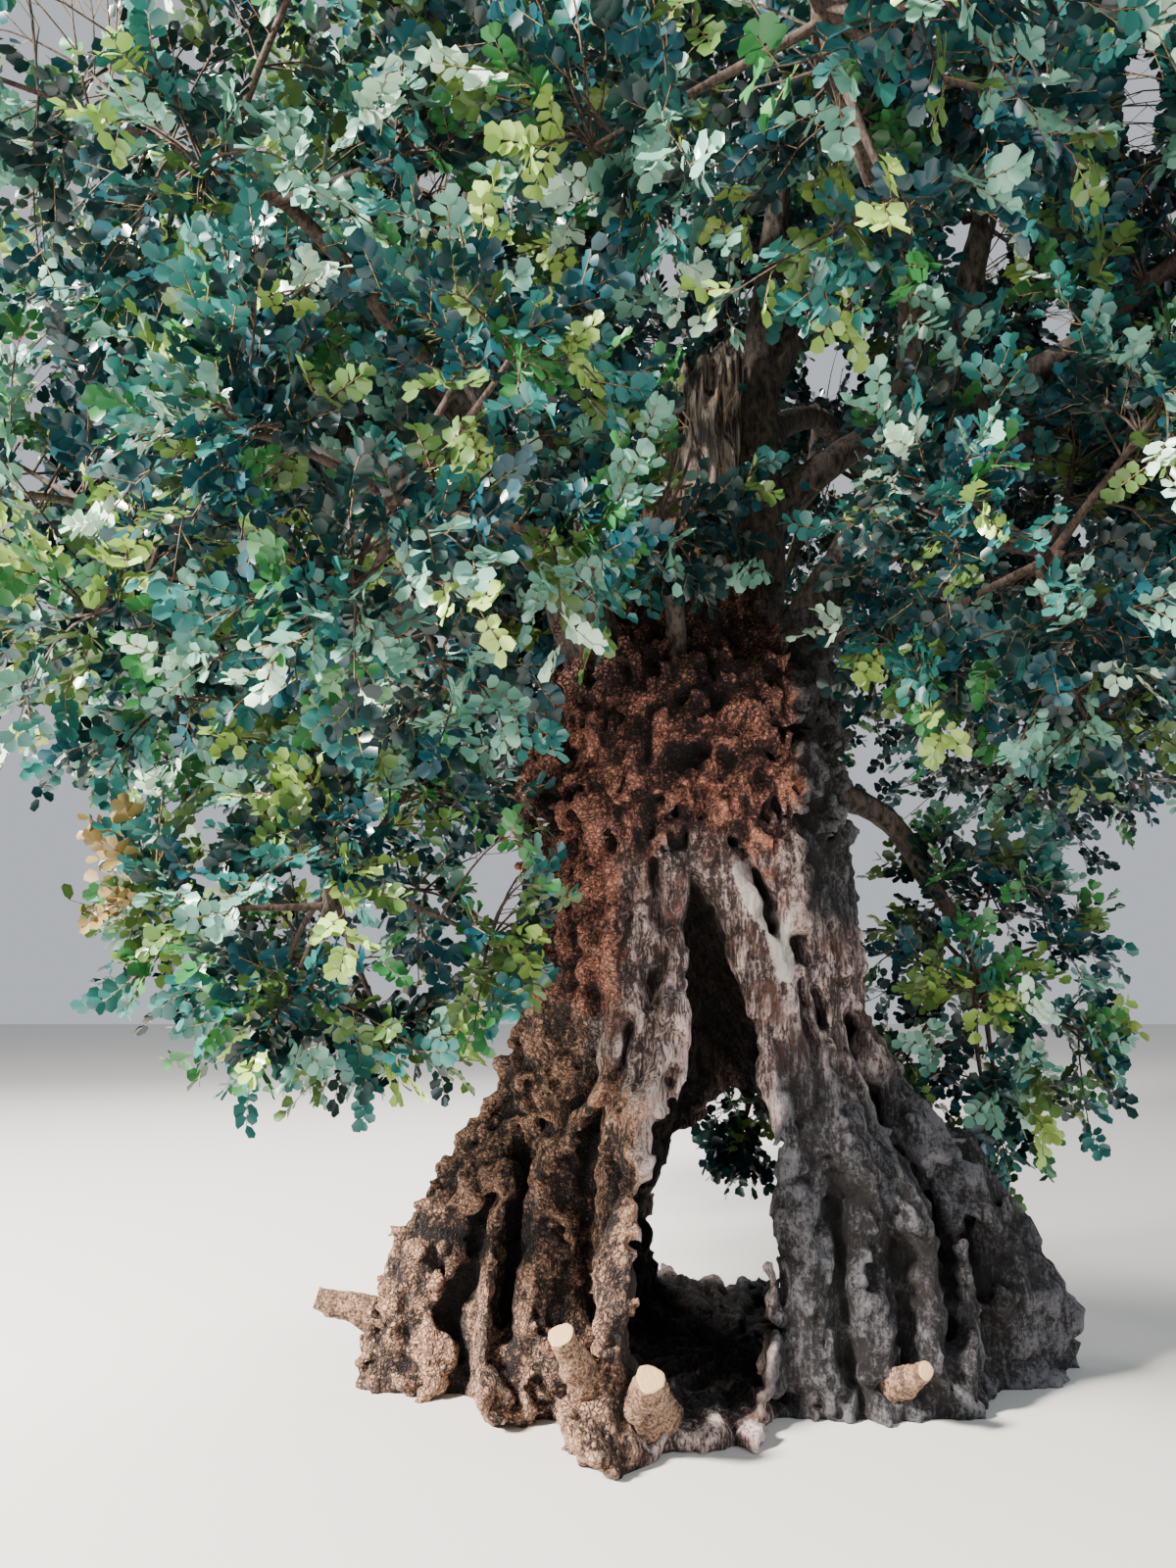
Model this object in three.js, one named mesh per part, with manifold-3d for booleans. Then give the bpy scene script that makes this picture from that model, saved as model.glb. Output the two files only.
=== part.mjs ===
// An old carob tree: a hollow, buttressed trunk, a dead leader, live boughs and a broad evergreen crown.
// Millimetres, +Z up. The origin is on the flat cut at ground level, and the mouth of the hollow faces -Y.

import * as THREE from "three";
import { mergeVertices } from "three/addons/utils/BufferGeometryUtils.js";
import Module from "manifold-3d";

const wasm = await Module();
wasm.setup();

const JOINT_GAP = 0.3; // between two pieces of wood that meet
const LEAF_GAP = 12; // between two masses, or a mass and a passing limb
const CLOSEST_CORNERS = 0.02;
const GOLDEN_ANGLE = Math.PI * (3 - Math.sqrt(5));
const TURN = 2 * Math.PI;

// The trunk. Its plan is its reach from the axis, by compass degrees from +X, at the foot and at the waist.
const TRUNK = { sides: 54, levels: 14, waist: 1620, fork: 2380, forkReach: 520 };
const FLARE = { height: 700, softness: 120, share: 0.68 };
const FOOT_AXIS = [-30, 0];
const WAIST_AXIS = [-130, 40];
const FOOT_REACH = [
  [0, 1170], [28, 900], [55, 980], [82, 700], [112, 930], [146, 820], [172, 1130], [188, 1190], [203, 860],
  [213, 900], [226, 600], [243, 930], [262, 600], [285, 470], [312, 640], [328, 800], [343, 850],
];
const WAIST_REACH = [[0, 560], [60, 520], [120, 560], [180, 565], [235, 540], [270, 500], [310, 560]];
const SHOULDER = { height: 1880, spread: 230, swell: 95, towards: 190, width: 75 };

// The hollow runs front to back. Each section is an arch: its left and right sides by height, and its top.
const MOUTH = {
  sides: [[60, -350, 40], [300, -382, 52], [560, -376, 78], [780, -310, 80], [1010, -180, 30]],
  top: [-165, 1620],
};
const CHAMBER = {
  sides: [[50, -450, 250], [300, -500, 300], [560, -470, 300], [780, -400, 230], [1010, -290, 130]],
  top: [-140, 1500],
};
const VAULT = {
  sides: [[80, -380, 330], [300, -430, 380], [560, -400, 370], [760, -300, 300], [940, -180, 200]],
  top: [0, 1180],
};
const BACK = {
  sides: [[130, -260, 330], [280, -270, 340], [450, -245, 335], [620, -170, 290], [760, -70, 200]],
  top: [60, 880],
};
const HOLLOW = [[-1400, MOUTH], [-450, MOUTH], [-150, CHAMBER], [250, VAULT], [560, BACK], [1400, BACK]];

// Sawn and broken suckers round the foot: where each leaves the wood, and where it ends.
const SUCKERS = [
  { from: [-470, -700, 130], to: [-575, -880, 350], radii: [56, 34] },
  { from: [-350, -640, 60], to: [-335, -900, 245], radii: [80, 38] },
  { from: [-1080, -60, 160], to: [-1390, -110, 255], radii: [60, 33] },
  { from: [400, -330, 40], to: [455, -640, 190], radii: [60, 24] },
];

// The dead leader: a spire with a jagged rim, and a thinner splinter fused beside it.
const LEADER = [
  { foot: [-150, 0], tip: [-40, 100], crest: 3600, radii: [165, 160, 150, 145], rim: [220, 40, 140, 0, 90] },
  { foot: [-230, 60], tip: [-250, 150], crest: 3420, radii: [120, 90, 62, 45], rim: [150, 60, 0, 30, 90] },
];

// The crown. Tiers of masses stand on rings round its axis, from one compass bearing to another, and the rest
// hang where the tree bears them. "joins" is how far along its bearer a mass's limb forks off.
const CROWN_AXIS = [120, 330];
const TIERS = {
  middle: { count: 7, arc: [13, 321], z: 3880, ring: [2300, 1780], radii: [1080, 1050, 950], joins: 0.3 },
  upper: { count: 5, arc: [20, 308], z: 4880, ring: [1330, 1180], radii: [1030, 1030, 880], joins: 0.52 },
  skirt: { count: 7, arc: [-33, 205], z: 2790, ring: [2400, 1900], radii: [1050, 1020, 890], joins: 0.55 },
};
const OUTLIERS = [
  { name: "top", centre: [420, 380, 5560], radii: [940, 940, 790] },
  { name: "over_fork", centre: [-270, -600, 2830], radii: [350, 320, 450] },
  { name: "low_right", centre: [1010, 350, 1210], radii: [500, 540, 740], from: [150, 150, 1960] },
  { name: "behind_hollow", centre: [150, 850, 700], radii: [150, 120, 200], from: [150, 480, 1120] },
  { name: "inner", centre: [-250, 1500, 3050], radii: [800, 760, 700], joins: 0.4 },
  { name: "front_left", centre: [-1040, -1290, 2520], radii: [800, 720, 820], joins: 0.26 },
  { name: "front_right", centre: [960, -760, 2560], radii: [880, 820, 780], joins: 0.3 },
  { name: "low_left", centre: [-1270, -660, 1480], radii: [760, 620, 640], joins: 0.4, off: "middle_5" },
];
const MAIN_LIMBS = ["top", "middle_3", "middle_5", "middle_7"];
const TRUNK_BORNE = [...MAIN_LIMBS, "over_fork", "low_right", "behind_hollow"];
const LIFT = 200; // how unevenly the masses of one tier stand
const STAGGER = 0.12; // every other limb of a tier forks off this much further along its bearer

const LIMB = { sides: 5, steps: 5, root: 122, stoutness: 0.055, thinning: 0.78, tip: 34, taper: 0.7 };
const FORK = { ring: 300, sunk: 170, lean: 0.45, rise: 0.42, follow: 0.7 };
const ENTRY = { depth: 0.72, nearest: 0.8 }; // a limb ends this deep in its mass, and short of its own bend
const TWIG = { count: 9, stem: 24, root: 20, tip: 10, reach: 0.66, room: 0.2, along: 0.3 };
const CORE = { share: 0.62, roughness: 0.3, shrink: 0.94 };
const SPRAY = { length: 440, width: 300, widest: 0.55, thickness: 18, spread: 1.2, sizes: [1, 0.85, 0.7] };
const SPRAY_ROOTS = [36, 216]; // how far back from a twig's end each of its sprays is rooted
const FULL_REACH = 850; // a smaller mass has smaller twigs and sprays
const TWIG_SEEDS = 1000;

const MATERIALS = {
  bark: new THREE.MeshStandardMaterial({ color: 0x6b5a4c, roughness: 0.95 }),
  deadWood: new THREE.MeshStandardMaterial({ color: 0x7d5c42, roughness: 0.9 }),
  foliage: new THREE.MeshStandardMaterial({ color: 0x3f6150, roughness: 0.5 }),
};

const { lerp, degToRad, radToDeg, smoothstep, euclideanModulo } = THREE.MathUtils;
const vector = (xyz) => new THREE.Vector3(...xyz);

// Numbers from 0 to 1 in an order that the seed fixes.
function seeded(seed) {
  let state = seed >>> 0;
  return () => {
    state = (state + 0x6d2b79f5) >>> 0;
    let mixed = Math.imul(state ^ (state >>> 15), state | 1);
    mixed ^= mixed + Math.imul(mixed ^ (mixed >>> 7), mixed | 61);
    return ((mixed ^ (mixed >>> 14)) >>> 0) / 4294967296;
  };
}

function solidOfGeometry(geometry) {
  const merged = mergeVertices(geometry, 1e-3);
  const vertProperties = merged.getAttribute("position").array;
  const triVerts = new Uint32Array(merged.getIndex().array);
  return new wasm.Manifold(new wasm.Mesh({ numProp: 3, vertProperties, triVerts }));
}

function solidOf(points, triangles) {
  const geometry = new THREE.BufferGeometry();
  geometry.setAttribute("position", new THREE.Float32BufferAttribute(points.flatMap((p) => p.toArray()), 3));
  geometry.setIndex(triangles.flat());
  return solidOfGeometry(geometry);
}

function geometryOf(solid) {
  const { vertProperties, triVerts } = solid.getMesh();
  const geometry = new THREE.BufferGeometry();
  geometry.setAttribute("position", new THREE.BufferAttribute(vertProperties, 3));
  geometry.setIndex(new THREE.BufferAttribute(triVerts, 1));
  return geometry;
}

function meshOf(name, solid, material) {
  const mesh = new THREE.Mesh(geometryOf(solid), material);
  mesh.geometry.computeVertexNormals();
  mesh.name = name;
  return mesh;
}

const join = (solids) => solids.reduce((whole, solid) => whole.add(solid));

// The main body of a solid, without the scraps that come loose once its nearest points are merged.
function largestPiece(solid) {
  const pieces = solidOfGeometry(geometryOf(solid)).decompose();
  const largest = pieces.reduce((best, piece) => (piece.volume() > best.volume() ? piece : best));
  return pieces.length === 1 ? largest : largestPiece(largest);
}

// A closed skin over rings of equal count. Each ring turns counter-clockwise about the way the rings run.
function loft(rings) {
  const count = rings[0].length;
  const points = rings.flat();
  const last = points.length - count;
  const triangles = [];
  for (let start = 0; start < last; start += count) {
    for (let side = 0; side < count; side++) {
      const a = start + side;
      const b = start + ((side + 1) % count);
      triangles.push([a, b, b + count], [a, b + count, a + count]);
    }
  }
  if (count === 3) {
    triangles.push([2, 1, 0], [last, last + 1, last + 2]);
    return solidOf(points, triangles);
  }
  for (const [first, faces] of [[0, -1], [last, 1]]) {
    const ring = points.slice(first, first + count);
    const hub = points.push(ring.reduce((sum, p) => sum.add(p), new THREE.Vector3()).divideScalar(count)) - 1;
    for (let side = 0; side < count; side++) {
      const [a, b] = [first + side, first + ((side + 1) % count)];
      triangles.push(faces > 0 ? [a, b, hub] : [b, a, hub]);
    }
  }
  return solidOf(points, triangles);
}

// A round limb along a curve, with one radius for each of its even steps, and one from point to point.
function tube(curve, radii, sides) {
  const chord = curve.getPoint(1).sub(curve.getPoint(0)).normalize();
  const reference = Math.abs(chord.z) < 0.8 ? vector([0, 0, 1]) : vector([1, 0, 0]);
  return loft(
    radii.map((radius, i) => {
      const point = curve.getPoint(i / (radii.length - 1));
      const along = curve.getTangent(i / (radii.length - 1));
      const across = new THREE.Vector3().crossVectors(reference, along).normalize();
      const up = new THREE.Vector3().crossVectors(along, across);
      return Array.from({ length: sides }, (_, side) => {
        const angle = (TURN * side) / sides;
        const offset = across.clone().multiplyScalar(Math.cos(angle)).addScaledVector(up, Math.sin(angle));
        return point.clone().addScaledVector(offset, radius);
      });
    }),
  );
}

const rod = (from, to, radii, sides) => tube(new THREE.LineCurve3(from, to), radii, sides);

// A value between keys of [degrees, value] round the compass, eased from each key to the next.
function roundTheCompass(keys, degrees) {
  const at = euclideanModulo(degrees, 360);
  const next = keys.findIndex(([key]) => key > at);
  const [lowKey, low] = keys.at(next < 0 ? -1 : next - 1);
  const [highKey, high] = next < 0 ? [360, keys[0][1]] : keys[next];
  return lerp(low, high, smoothstep(at, lowKey, highKey));
}

function trunkAxis(height) {
  const share = smoothstep(height, 0, TRUNK.waist);
  return [lerp(FOOT_AXIS[0], WAIST_AXIS[0], share), lerp(FOOT_AXIS[1], WAIST_AXIS[1], share)];
}

// How far the trunk reaches from its axis: buttresses at the foot, a waist, a shoulder, then the round fork.
function trunkReach(degrees, height) {
  const drop = 1 / (1 + Math.exp((height - FLARE.height) / FLARE.softness));
  const flare = lerp(Math.max(0, 1 - height / TRUNK.waist), drop, FLARE.share);
  const column = lerp(roundTheCompass(WAIST_REACH, degrees), roundTheCompass(FOOT_REACH, degrees), flare);
  const aside = (euclideanModulo(degrees - SHOULDER.towards + 180, 360) - 180) / SHOULDER.width;
  const up = (height - SHOULDER.height) / SHOULDER.spread;
  const swell = SHOULDER.swell * Math.exp(-aside * aside - up * up);
  return lerp(column + swell, TRUNK.forkReach, smoothstep(height, SHOULDER.height, TRUNK.fork));
}

function trunkColumn(extra = 0) {
  return loft(
    Array.from({ length: TRUNK.levels + 1 }, (_, level) => {
      const height = (TRUNK.fork * level) / TRUNK.levels;
      const [x, y] = trunkAxis(height);
      return Array.from({ length: TRUNK.sides }, (_, side) => {
        const angle = (TURN * side) / TRUNK.sides;
        const reach = trunkReach(radToDeg(angle), height) + extra;
        const z = level === TRUNK.levels ? height + extra : height;
        return new THREE.Vector3(x + reach * Math.cos(angle), y + reach * Math.sin(angle), z);
      });
    }),
  );
}

const hollow = () =>
  loft(
    HOLLOW.map(([y, { sides, top }]) => [
      new THREE.Vector3(top[0], y, top[1]),
      ...sides.toReversed().map(([z, , right]) => new THREE.Vector3(right, y, z)),
      ...sides.map(([z, left]) => new THREE.Vector3(left, y, z)),
    ]),
  );

// A dead spire: a tapered column whose rim breaks off at uneven heights.
function spire({ foot, tip, crest, radii, rim }, extra = 0) {
  const low = TRUNK.fork - FORK.sunk;
  return loft(
    radii.map((radius, level) => {
      const share = level / (radii.length - 1);
      return rim.map((peak, side) => {
        const angle = (TURN * side) / rim.length;
        const x = lerp(foot[0], tip[0], share) + (radius + extra) * Math.cos(angle);
        const y = lerp(foot[1], tip[1], share) + (radius + extra) * Math.sin(angle);
        return new THREE.Vector3(x, y, lerp(low, crest + extra, share) + share ** 2 * peak);
      });
    }),
  );
}

const leader = (extra = 0) => join(LEADER.map((part) => spire(part, extra)));

// The masses of foliage: where each stands, how far it reaches, and its seeded numbers.
function crownMasses() {
  const [axisX, axisY] = CROWN_AXIS;
  const tiered = Object.entries(TIERS).flatMap(([tier, { count, arc, z, ring, radii, joins }]) =>
    Array.from({ length: count }, (_, i) => {
      const angle = degToRad(lerp(...arc, i / (count - 1)));
      const centre = [axisX + ring[0] * Math.cos(angle), axisY + ring[1] * Math.sin(angle), z];
      return { tier, name: `${tier}_${i + 1}`, centre, radii, joins: joins + STAGGER * (i % 2) };
    }),
  );
  return [...tiered, ...OUTLIERS].map((given, i) => {
    const random = seeded(i + 1);
    const twigRandom = seeded(TWIG_SEEDS + i);
    const mass = { ...given, random, twigRandom, centre: vector(given.centre), radii: vector(given.radii) };
    mass.centre.z += LIFT * (random() - 0.5) * (mass.tier ? 1 : 0);
    mass.reach = (mass.radii.x + mass.radii.y + mass.radii.z) / 3;
    mass.scale = Math.min(1, mass.reach / FULL_REACH);
    return mass;
  });
}

// How deep a point lies in its mass's own space: within reach, and on its side of each neighbour's wall.
function roomAt(mass, masses, point) {
  const offset = point.clone().sub(mass.centre);
  let room = (1 - offset.clone().divide(mass.radii).length()) * mass.reach;
  for (const other of masses) {
    if (other === mass) continue;
    const away = other.centre.clone().sub(mass.centre);
    const distance = away.length();
    const wall = (distance ** 2 + mass.reach ** 2 - other.reach ** 2) / (2 * distance);
    room = Math.min(room, wall - offset.dot(away) / distance);
  }
  return room;
}

// The limb that a mass's own limb forks off: a named one, or the one that points most nearly its way.
function bearerOf(mass, towards, limbs) {
  const inner = limbs.filter((limb) => MAIN_LIMBS.includes(limb.mass.name));
  const middle = limbs.filter((limb) => limb.mass.tier === "middle");
  const named = limbs.filter((limb) => limb.mass.name === mass.off);
  const bearers = named.length ? named : ["middle", "upper"].includes(mass.tier) ? inner : middle;
  const apart = (limb) => Math.abs(euclideanModulo(limb.towards - towards + Math.PI, TURN) - Math.PI);
  return bearers.reduce((best, limb) => (apart(limb) < apart(best) ? limb : best));
}

// One tapering limb, bent once, from the trunk's fork or its bearer's heart to where it enters its mass.
function growLimb(mass, limbs) {
  const [axisX, axisY] = WAIST_AXIS;
  const towards = Math.atan2(mass.centre.y - axisY, mass.centre.x - axisX);
  const outward = new THREE.Vector3(Math.cos(towards), Math.sin(towards), 0);
  let parent = null;
  let start = new THREE.Vector3(axisX, axisY, TRUNK.fork - FORK.sunk).addScaledVector(outward, FORK.ring);
  const span = start.distanceTo(mass.centre);
  let root = Math.min(LIMB.root, LIMB.stoutness * span);
  const away = mass.centre.clone().sub(start);
  const lean = FORK.lean * Math.min(1, Math.hypot(away.x, away.y) / Math.abs(away.z));
  let heading = outward.clone().multiplyScalar(lean).setZ(1);
  if (mass.from) {
    start = vector(mass.from);
    heading = outward.setZ(FORK.lean);
    root = LIMB.stoutness * start.distanceTo(mass.centre);
  } else if (!TRUNK_BORNE.includes(mass.name)) {
    parent = bearerOf(mass, towards, limbs);
    start = parent.curve.getPoint(mass.joins);
    heading = mass.centre.clone().sub(start).normalize();
    heading.addScaledVector(parent.curve.getTangent(mass.joins), FORK.follow);
    root = parent.radiusAt(mass.joins) * LIMB.thinning;
  }
  const bend = start.clone().addScaledVector(heading.normalize(), FORK.rise * start.distanceTo(mass.centre));
  const back = bend.clone().sub(mass.centre);
  const reached = back.clone().divide(mass.radii).length();
  const tip = mass.centre.clone().addScaledVector(back, Math.min(ENTRY.depth / reached, ENTRY.nearest));
  const curve = new THREE.QuadraticBezierCurve3(start, bend, tip);
  const radiusAt = (share) => lerp(root, Math.min(LIMB.tip, LIMB.taper * root), share);
  return { name: `bough_${mass.name}`, mass, parent, towards, curve, radiusAt };
}

function limbSolid({ curve, radiusAt }, extra = 0) {
  const radii = Array.from({ length: LIMB.steps }, (_, i) => radiusAt(i / (LIMB.steps - 1)) + extra);
  const limb = tube(curve, radii, LIMB.sides);
  if (extra <= JOINT_GAP) return limb;
  const tip = curve.getPoint(1);
  const beyond = tip.clone().addScaledVector(curve.getTangent(1), extra);
  return limb.add(rod(tip, beyond, [radii.at(-1), radii.at(-1)], LIMB.sides));
}

// The stem carries on from a limb's tip to the middle of its mass.
function stemSolid({ curve, mass }, extra = 0) {
  const root = curve.getPoint(1).addScaledVector(curve.getTangent(1), JOINT_GAP);
  return rod(root, mass.centre, [TWIG.stem * mass.scale + extra, TWIG.root * mass.scale + extra], 3);
}

// The dense heart of a mass: a rough ball, drawn in where a neighbour's wall is near.
function coreSolid(mass, masses) {
  const ball = new THREE.IcosahedronGeometry(1, 1);
  ball.deleteAttribute("normal");
  ball.deleteAttribute("uv");
  const merged = mergeVertices(ball, 1e-3);
  const corners = merged.getAttribute("position");
  const points = Array.from({ length: corners.count }, (_, i) => {
    const way = new THREE.Vector3().fromBufferAttribute(corners, i).multiply(mass.radii);
    let share = CORE.share * (1 + CORE.roughness * (2 * mass.random() - 1));
    const at = () => mass.centre.clone().addScaledVector(way, share);
    while (roomAt(mass, masses, at()) < 2 * LEAF_GAP) share *= CORE.shrink;
    return at();
  });
  return solidOf(points, [Array.from(merged.getIndex().array)]);
}

// A spray of leaves as one blade of eight faces, from a sunken root to its tip.
const BLADE_FACES = [[0, 4, 2], [0, 3, 4], [0, 5, 3], [0, 2, 5], [1, 2, 4], [1, 4, 3], [1, 3, 5], [1, 5, 2]];

function bladePoints(root, way, flat, size) {
  const across = new THREE.Vector3().crossVectors(flat, way).normalize();
  const face = new THREE.Vector3().crossVectors(way, across);
  const middle = root.clone().addScaledVector(way, SPRAY.widest * SPRAY.length * size);
  return [
    root,
    root.clone().addScaledVector(way, SPRAY.length * size),
    middle.clone().addScaledVector(across, (SPRAY.width / 2) * size),
    middle.clone().addScaledVector(across, (-SPRAY.width / 2) * size),
    middle.clone().addScaledVector(face, (SPRAY.thickness / 2) * size),
    middle.clone().addScaledVector(face, (-SPRAY.thickness / 2) * size),
  ];
}

// True where a solid is one body with no two corners so close that they could fold into each other.
function isClean(solid) {
  const geometry = geometryOf(solid);
  const merged = mergeVertices(geometry, CLOSEST_CORNERS).getAttribute("position").count;
  return merged === geometry.getAttribute("position").count && solid.decompose().length === 1;
}

// A piece joined to a mass's body, or null where it touches a limb or joins badly.
function grow(body, piece, wood) {
  const grown = piece.intersect(wood).isEmpty() ? body.add(piece) : null;
  return grown && isClean(grown) ? grown : null;
}

// A twig with its sprays: the largest that keep to the mass's space. A twig that can bear none is skipped.
function growTwig(body, from, end, mass, masses, wood) {
  const { random, scale } = mass;
  const along = end.clone().sub(from).normalize();
  const twig = grow(body, rod(from, end, [TWIG.root * scale, TWIG.tip * scale], 3), wood);
  let leafy = twig;
  for (let spray = 0; twig && spray < SPRAY_ROOTS.length; spray++) {
    const stray = new THREE.Vector3(random() - 0.5, random() - 0.5, random() - 0.5);
    const ahead = along.clone().addScaledVector(stray, SPRAY.spread).normalize();
    const flat = new THREE.Vector3(random() - 0.5, random() - 0.5, 1);
    const root = end.clone().addScaledVector(along, -SPRAY_ROOTS[spray] * scale);
    for (const size of SPRAY.sizes) {
      const points = bladePoints(root, ahead, flat, size * scale);
      const keepsIn = points.every((at) => at.z > LEAF_GAP && roomAt(mass, masses, at) > LEAF_GAP / 2);
      const grown = keepsIn ? grow(leafy, solidOf(points, BLADE_FACES), wood) : null;
      if (!grown) continue;
      leafy = grown;
      break;
    }
  }
  return leafy === twig ? body : leafy;
}

// The stem and core of a mass, with twigs all round on a golden spiral wherever there is room for them.
function foliageSolid(limb, masses, wood) {
  const { mass } = limb;
  let body = largestPiece(coreSolid(mass, masses).subtract(wood).add(stemSolid(limb)));
  for (let i = 0; i < TWIG.count; i++) {
    const height = 1 - (2 * (i + 0.5)) / TWIG.count;
    const level = Math.sqrt(1 - height * height);
    const angle = i * GOLDEN_ANGLE + mass.twigRandom();
    const way = new THREE.Vector3(level * Math.cos(angle), level * Math.sin(angle), height);
    const from = mass.centre.clone().lerp(limb.curve.getPoint(1), TWIG.along * mass.twigRandom());
    const end = mass.centre.clone().addScaledVector(way.multiply(mass.radii), TWIG.reach);
    if (roomAt(mass, masses, end) < TWIG.room * mass.reach) continue;
    body = growTwig(body, from, end, mass, masses, wood);
  }
  return body;
}

const masses = crownMasses();
const growthOrder = (mass) => (TRUNK_BORNE.includes(mass.name) ? 0 : 1 + (mass.tier !== "middle"));
const limbs = [];
for (const mass of masses.toSorted((a, b) => growthOrder(a) - growthOrder(b))) {
  limbs.push(growLimb(mass, limbs));
}

const tree = new THREE.Group();
const trunkSkin = trunkColumn(JOINT_GAP);
tree.add(meshOf("trunk", trunkColumn().subtract(hollow()), MATERIALS.bark));
tree.add(meshOf("dead_leader", leader().subtract(trunkSkin), MATERIALS.deadWood));
SUCKERS.forEach(({ from, to, radii }, i) => {
  const stub = rod(vector(from), vector(to), radii, LIMB.sides).subtract(trunkSkin);
  tree.add(meshOf(`sucker_${i + 1}`, largestPiece(stub), MATERIALS.bark));
});
for (const limb of limbs) {
  const bearer = limb.parent ? limbSolid(limb.parent, JOINT_GAP) : trunkSkin;
  tree.add(meshOf(limb.name, largestPiece(limbSolid(limb).subtract(bearer)), MATERIALS.bark));
}

const clearedLimbs = limbs.map((limb) => limbSolid(limb, LEAF_GAP));
const allWood = join([trunkColumn(LEAF_GAP), leader(LEAF_GAP), ...clearedLimbs]);
for (const limb of limbs) {
  const otherStems = limbs.filter((other) => other !== limb).map((other) => stemSolid(other, LEAF_GAP));
  const foliage = foliageSolid(limb, masses, join([allWood, ...otherStems]));
  tree.add(meshOf(`foliage_${limb.mass.name}`, foliage, MATERIALS.foliage));
}

export default tree;
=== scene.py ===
# %% [markdown]
# # An old hollow carob tree
# This notebook dresses the solids of an old carob tree: a hollow, buttressed trunk with a dead leader, live boughs
# and a broad evergreen crown. The solids say where everything is, in metres, with the ground at z = 0 and the mouth
# of the hollow facing -Y. Each step below replaces some of them with something finer in the same place.
# The first cell loads the solids and remembers their box, because nothing here may grow out of it.

import itertools
import math

import bmesh
import bpy
import numpy as np
import openvdb
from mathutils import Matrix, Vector


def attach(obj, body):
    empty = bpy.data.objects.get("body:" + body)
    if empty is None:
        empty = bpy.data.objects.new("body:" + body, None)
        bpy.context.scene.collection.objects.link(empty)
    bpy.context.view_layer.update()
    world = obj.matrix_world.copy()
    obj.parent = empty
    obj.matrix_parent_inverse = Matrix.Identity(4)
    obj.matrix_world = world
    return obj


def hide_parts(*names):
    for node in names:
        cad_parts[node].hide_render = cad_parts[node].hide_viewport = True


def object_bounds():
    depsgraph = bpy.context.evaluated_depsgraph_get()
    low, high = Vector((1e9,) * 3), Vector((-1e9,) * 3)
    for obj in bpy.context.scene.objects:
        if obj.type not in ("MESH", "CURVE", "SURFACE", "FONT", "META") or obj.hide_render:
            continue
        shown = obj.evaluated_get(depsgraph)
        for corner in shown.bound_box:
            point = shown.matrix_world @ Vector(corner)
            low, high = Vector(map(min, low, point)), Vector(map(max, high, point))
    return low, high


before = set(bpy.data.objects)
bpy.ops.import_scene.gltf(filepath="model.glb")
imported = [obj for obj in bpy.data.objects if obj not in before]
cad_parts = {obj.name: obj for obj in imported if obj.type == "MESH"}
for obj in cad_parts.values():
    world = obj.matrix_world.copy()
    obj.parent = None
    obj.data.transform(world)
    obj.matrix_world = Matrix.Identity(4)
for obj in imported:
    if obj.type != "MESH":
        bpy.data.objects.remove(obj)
CAD_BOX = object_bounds()
BOX_LOW, BOX_HIGH = (np.array(corner) for corner in CAD_BOX)
print("solids:", len(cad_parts), "nodes, from", BOX_LOW.round(2), "to", BOX_HIGH.round(2))

# %% [markdown]
# ## Camera, floor and light
# The camera stands low and close in front of the tree and looks up a little, as one does at a tree that one has
# just walked up to. The light is a studio's: a large warm lamp high on the left in front, a weak cool one on the
# right, and a pale surround that fills the shade. Large lamps give soft edges to the shadows.

# %% Camera, floor and light
EYE = (-0.5, -4.2, 1.25)
LOOKING_UP = 9.9  # degrees
LENS, SENSOR = 27.05, 36.0  # millimetres; the sensor's longer side is upright
FRAME = (1200, 1600)
FLOOR_HALF = 40
LAMPS = {
    "key": dict(place=(-9.2, -5.6, 7.6), target=(0.0, 0.0, 2.2), size=1.8, power=10500, colour=(1.0, 0.95, 0.87)),
    "rim": dict(place=(-3.0, 8.0, 9.5), target=(0.0, 0.3, 4.0), size=3.0, power=2400, colour=(1.0, 0.97, 0.92)),
    "fill": dict(place=(7.0, -6.0, 5.0), target=(0.5, 0.0, 2.5), size=5.0, power=420, colour=(0.80, 0.90, 1.0)),
}


def linked(thing):
    bpy.context.scene.collection.objects.link(thing)
    return thing


def add_camera():
    lens = bpy.data.cameras.new("camera")
    lens.lens, lens.sensor_width, lens.sensor_fit = LENS, SENSOR, "AUTO"
    camera = linked(bpy.data.objects.new("camera", lens))
    camera.location = EYE
    camera.rotation_euler = (math.radians(90 + LOOKING_UP), 0, 0)
    bpy.context.scene.camera = camera


def add_lamp(name, place, target, size, power, colour):
    lamp = bpy.data.lights.new(name, "AREA")
    lamp.shape, lamp.size, lamp.energy, lamp.color = "DISK", size, power, colour
    stand = linked(bpy.data.objects.new(name, lamp))
    stand.location = place
    stand.rotation_euler = (Vector(target) - Vector(place)).to_track_quat("-Z", "Y").to_euler()


def add_floor():
    mesh = bpy.data.meshes.new("floor")
    corners = [(x * FLOOR_HALF, y * FLOOR_HALF, 0) for x, y in ((-1, -1), (1, -1), (1, 1), (-1, 1))]
    mesh.from_pydata(corners, [], [(0, 1, 2, 3)])
    floor = linked(bpy.data.objects.new("floor", mesh))
    pale = bpy.data.materials.new("floor_pale")
    pale.use_nodes = True
    shader = pale.node_tree.nodes["Principled BSDF"]
    shader.inputs["Base Color"].default_value = (0.62, 0.60, 0.57, 1)
    shader.inputs["Roughness"].default_value = 0.9
    mesh.materials.append(pale)


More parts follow.
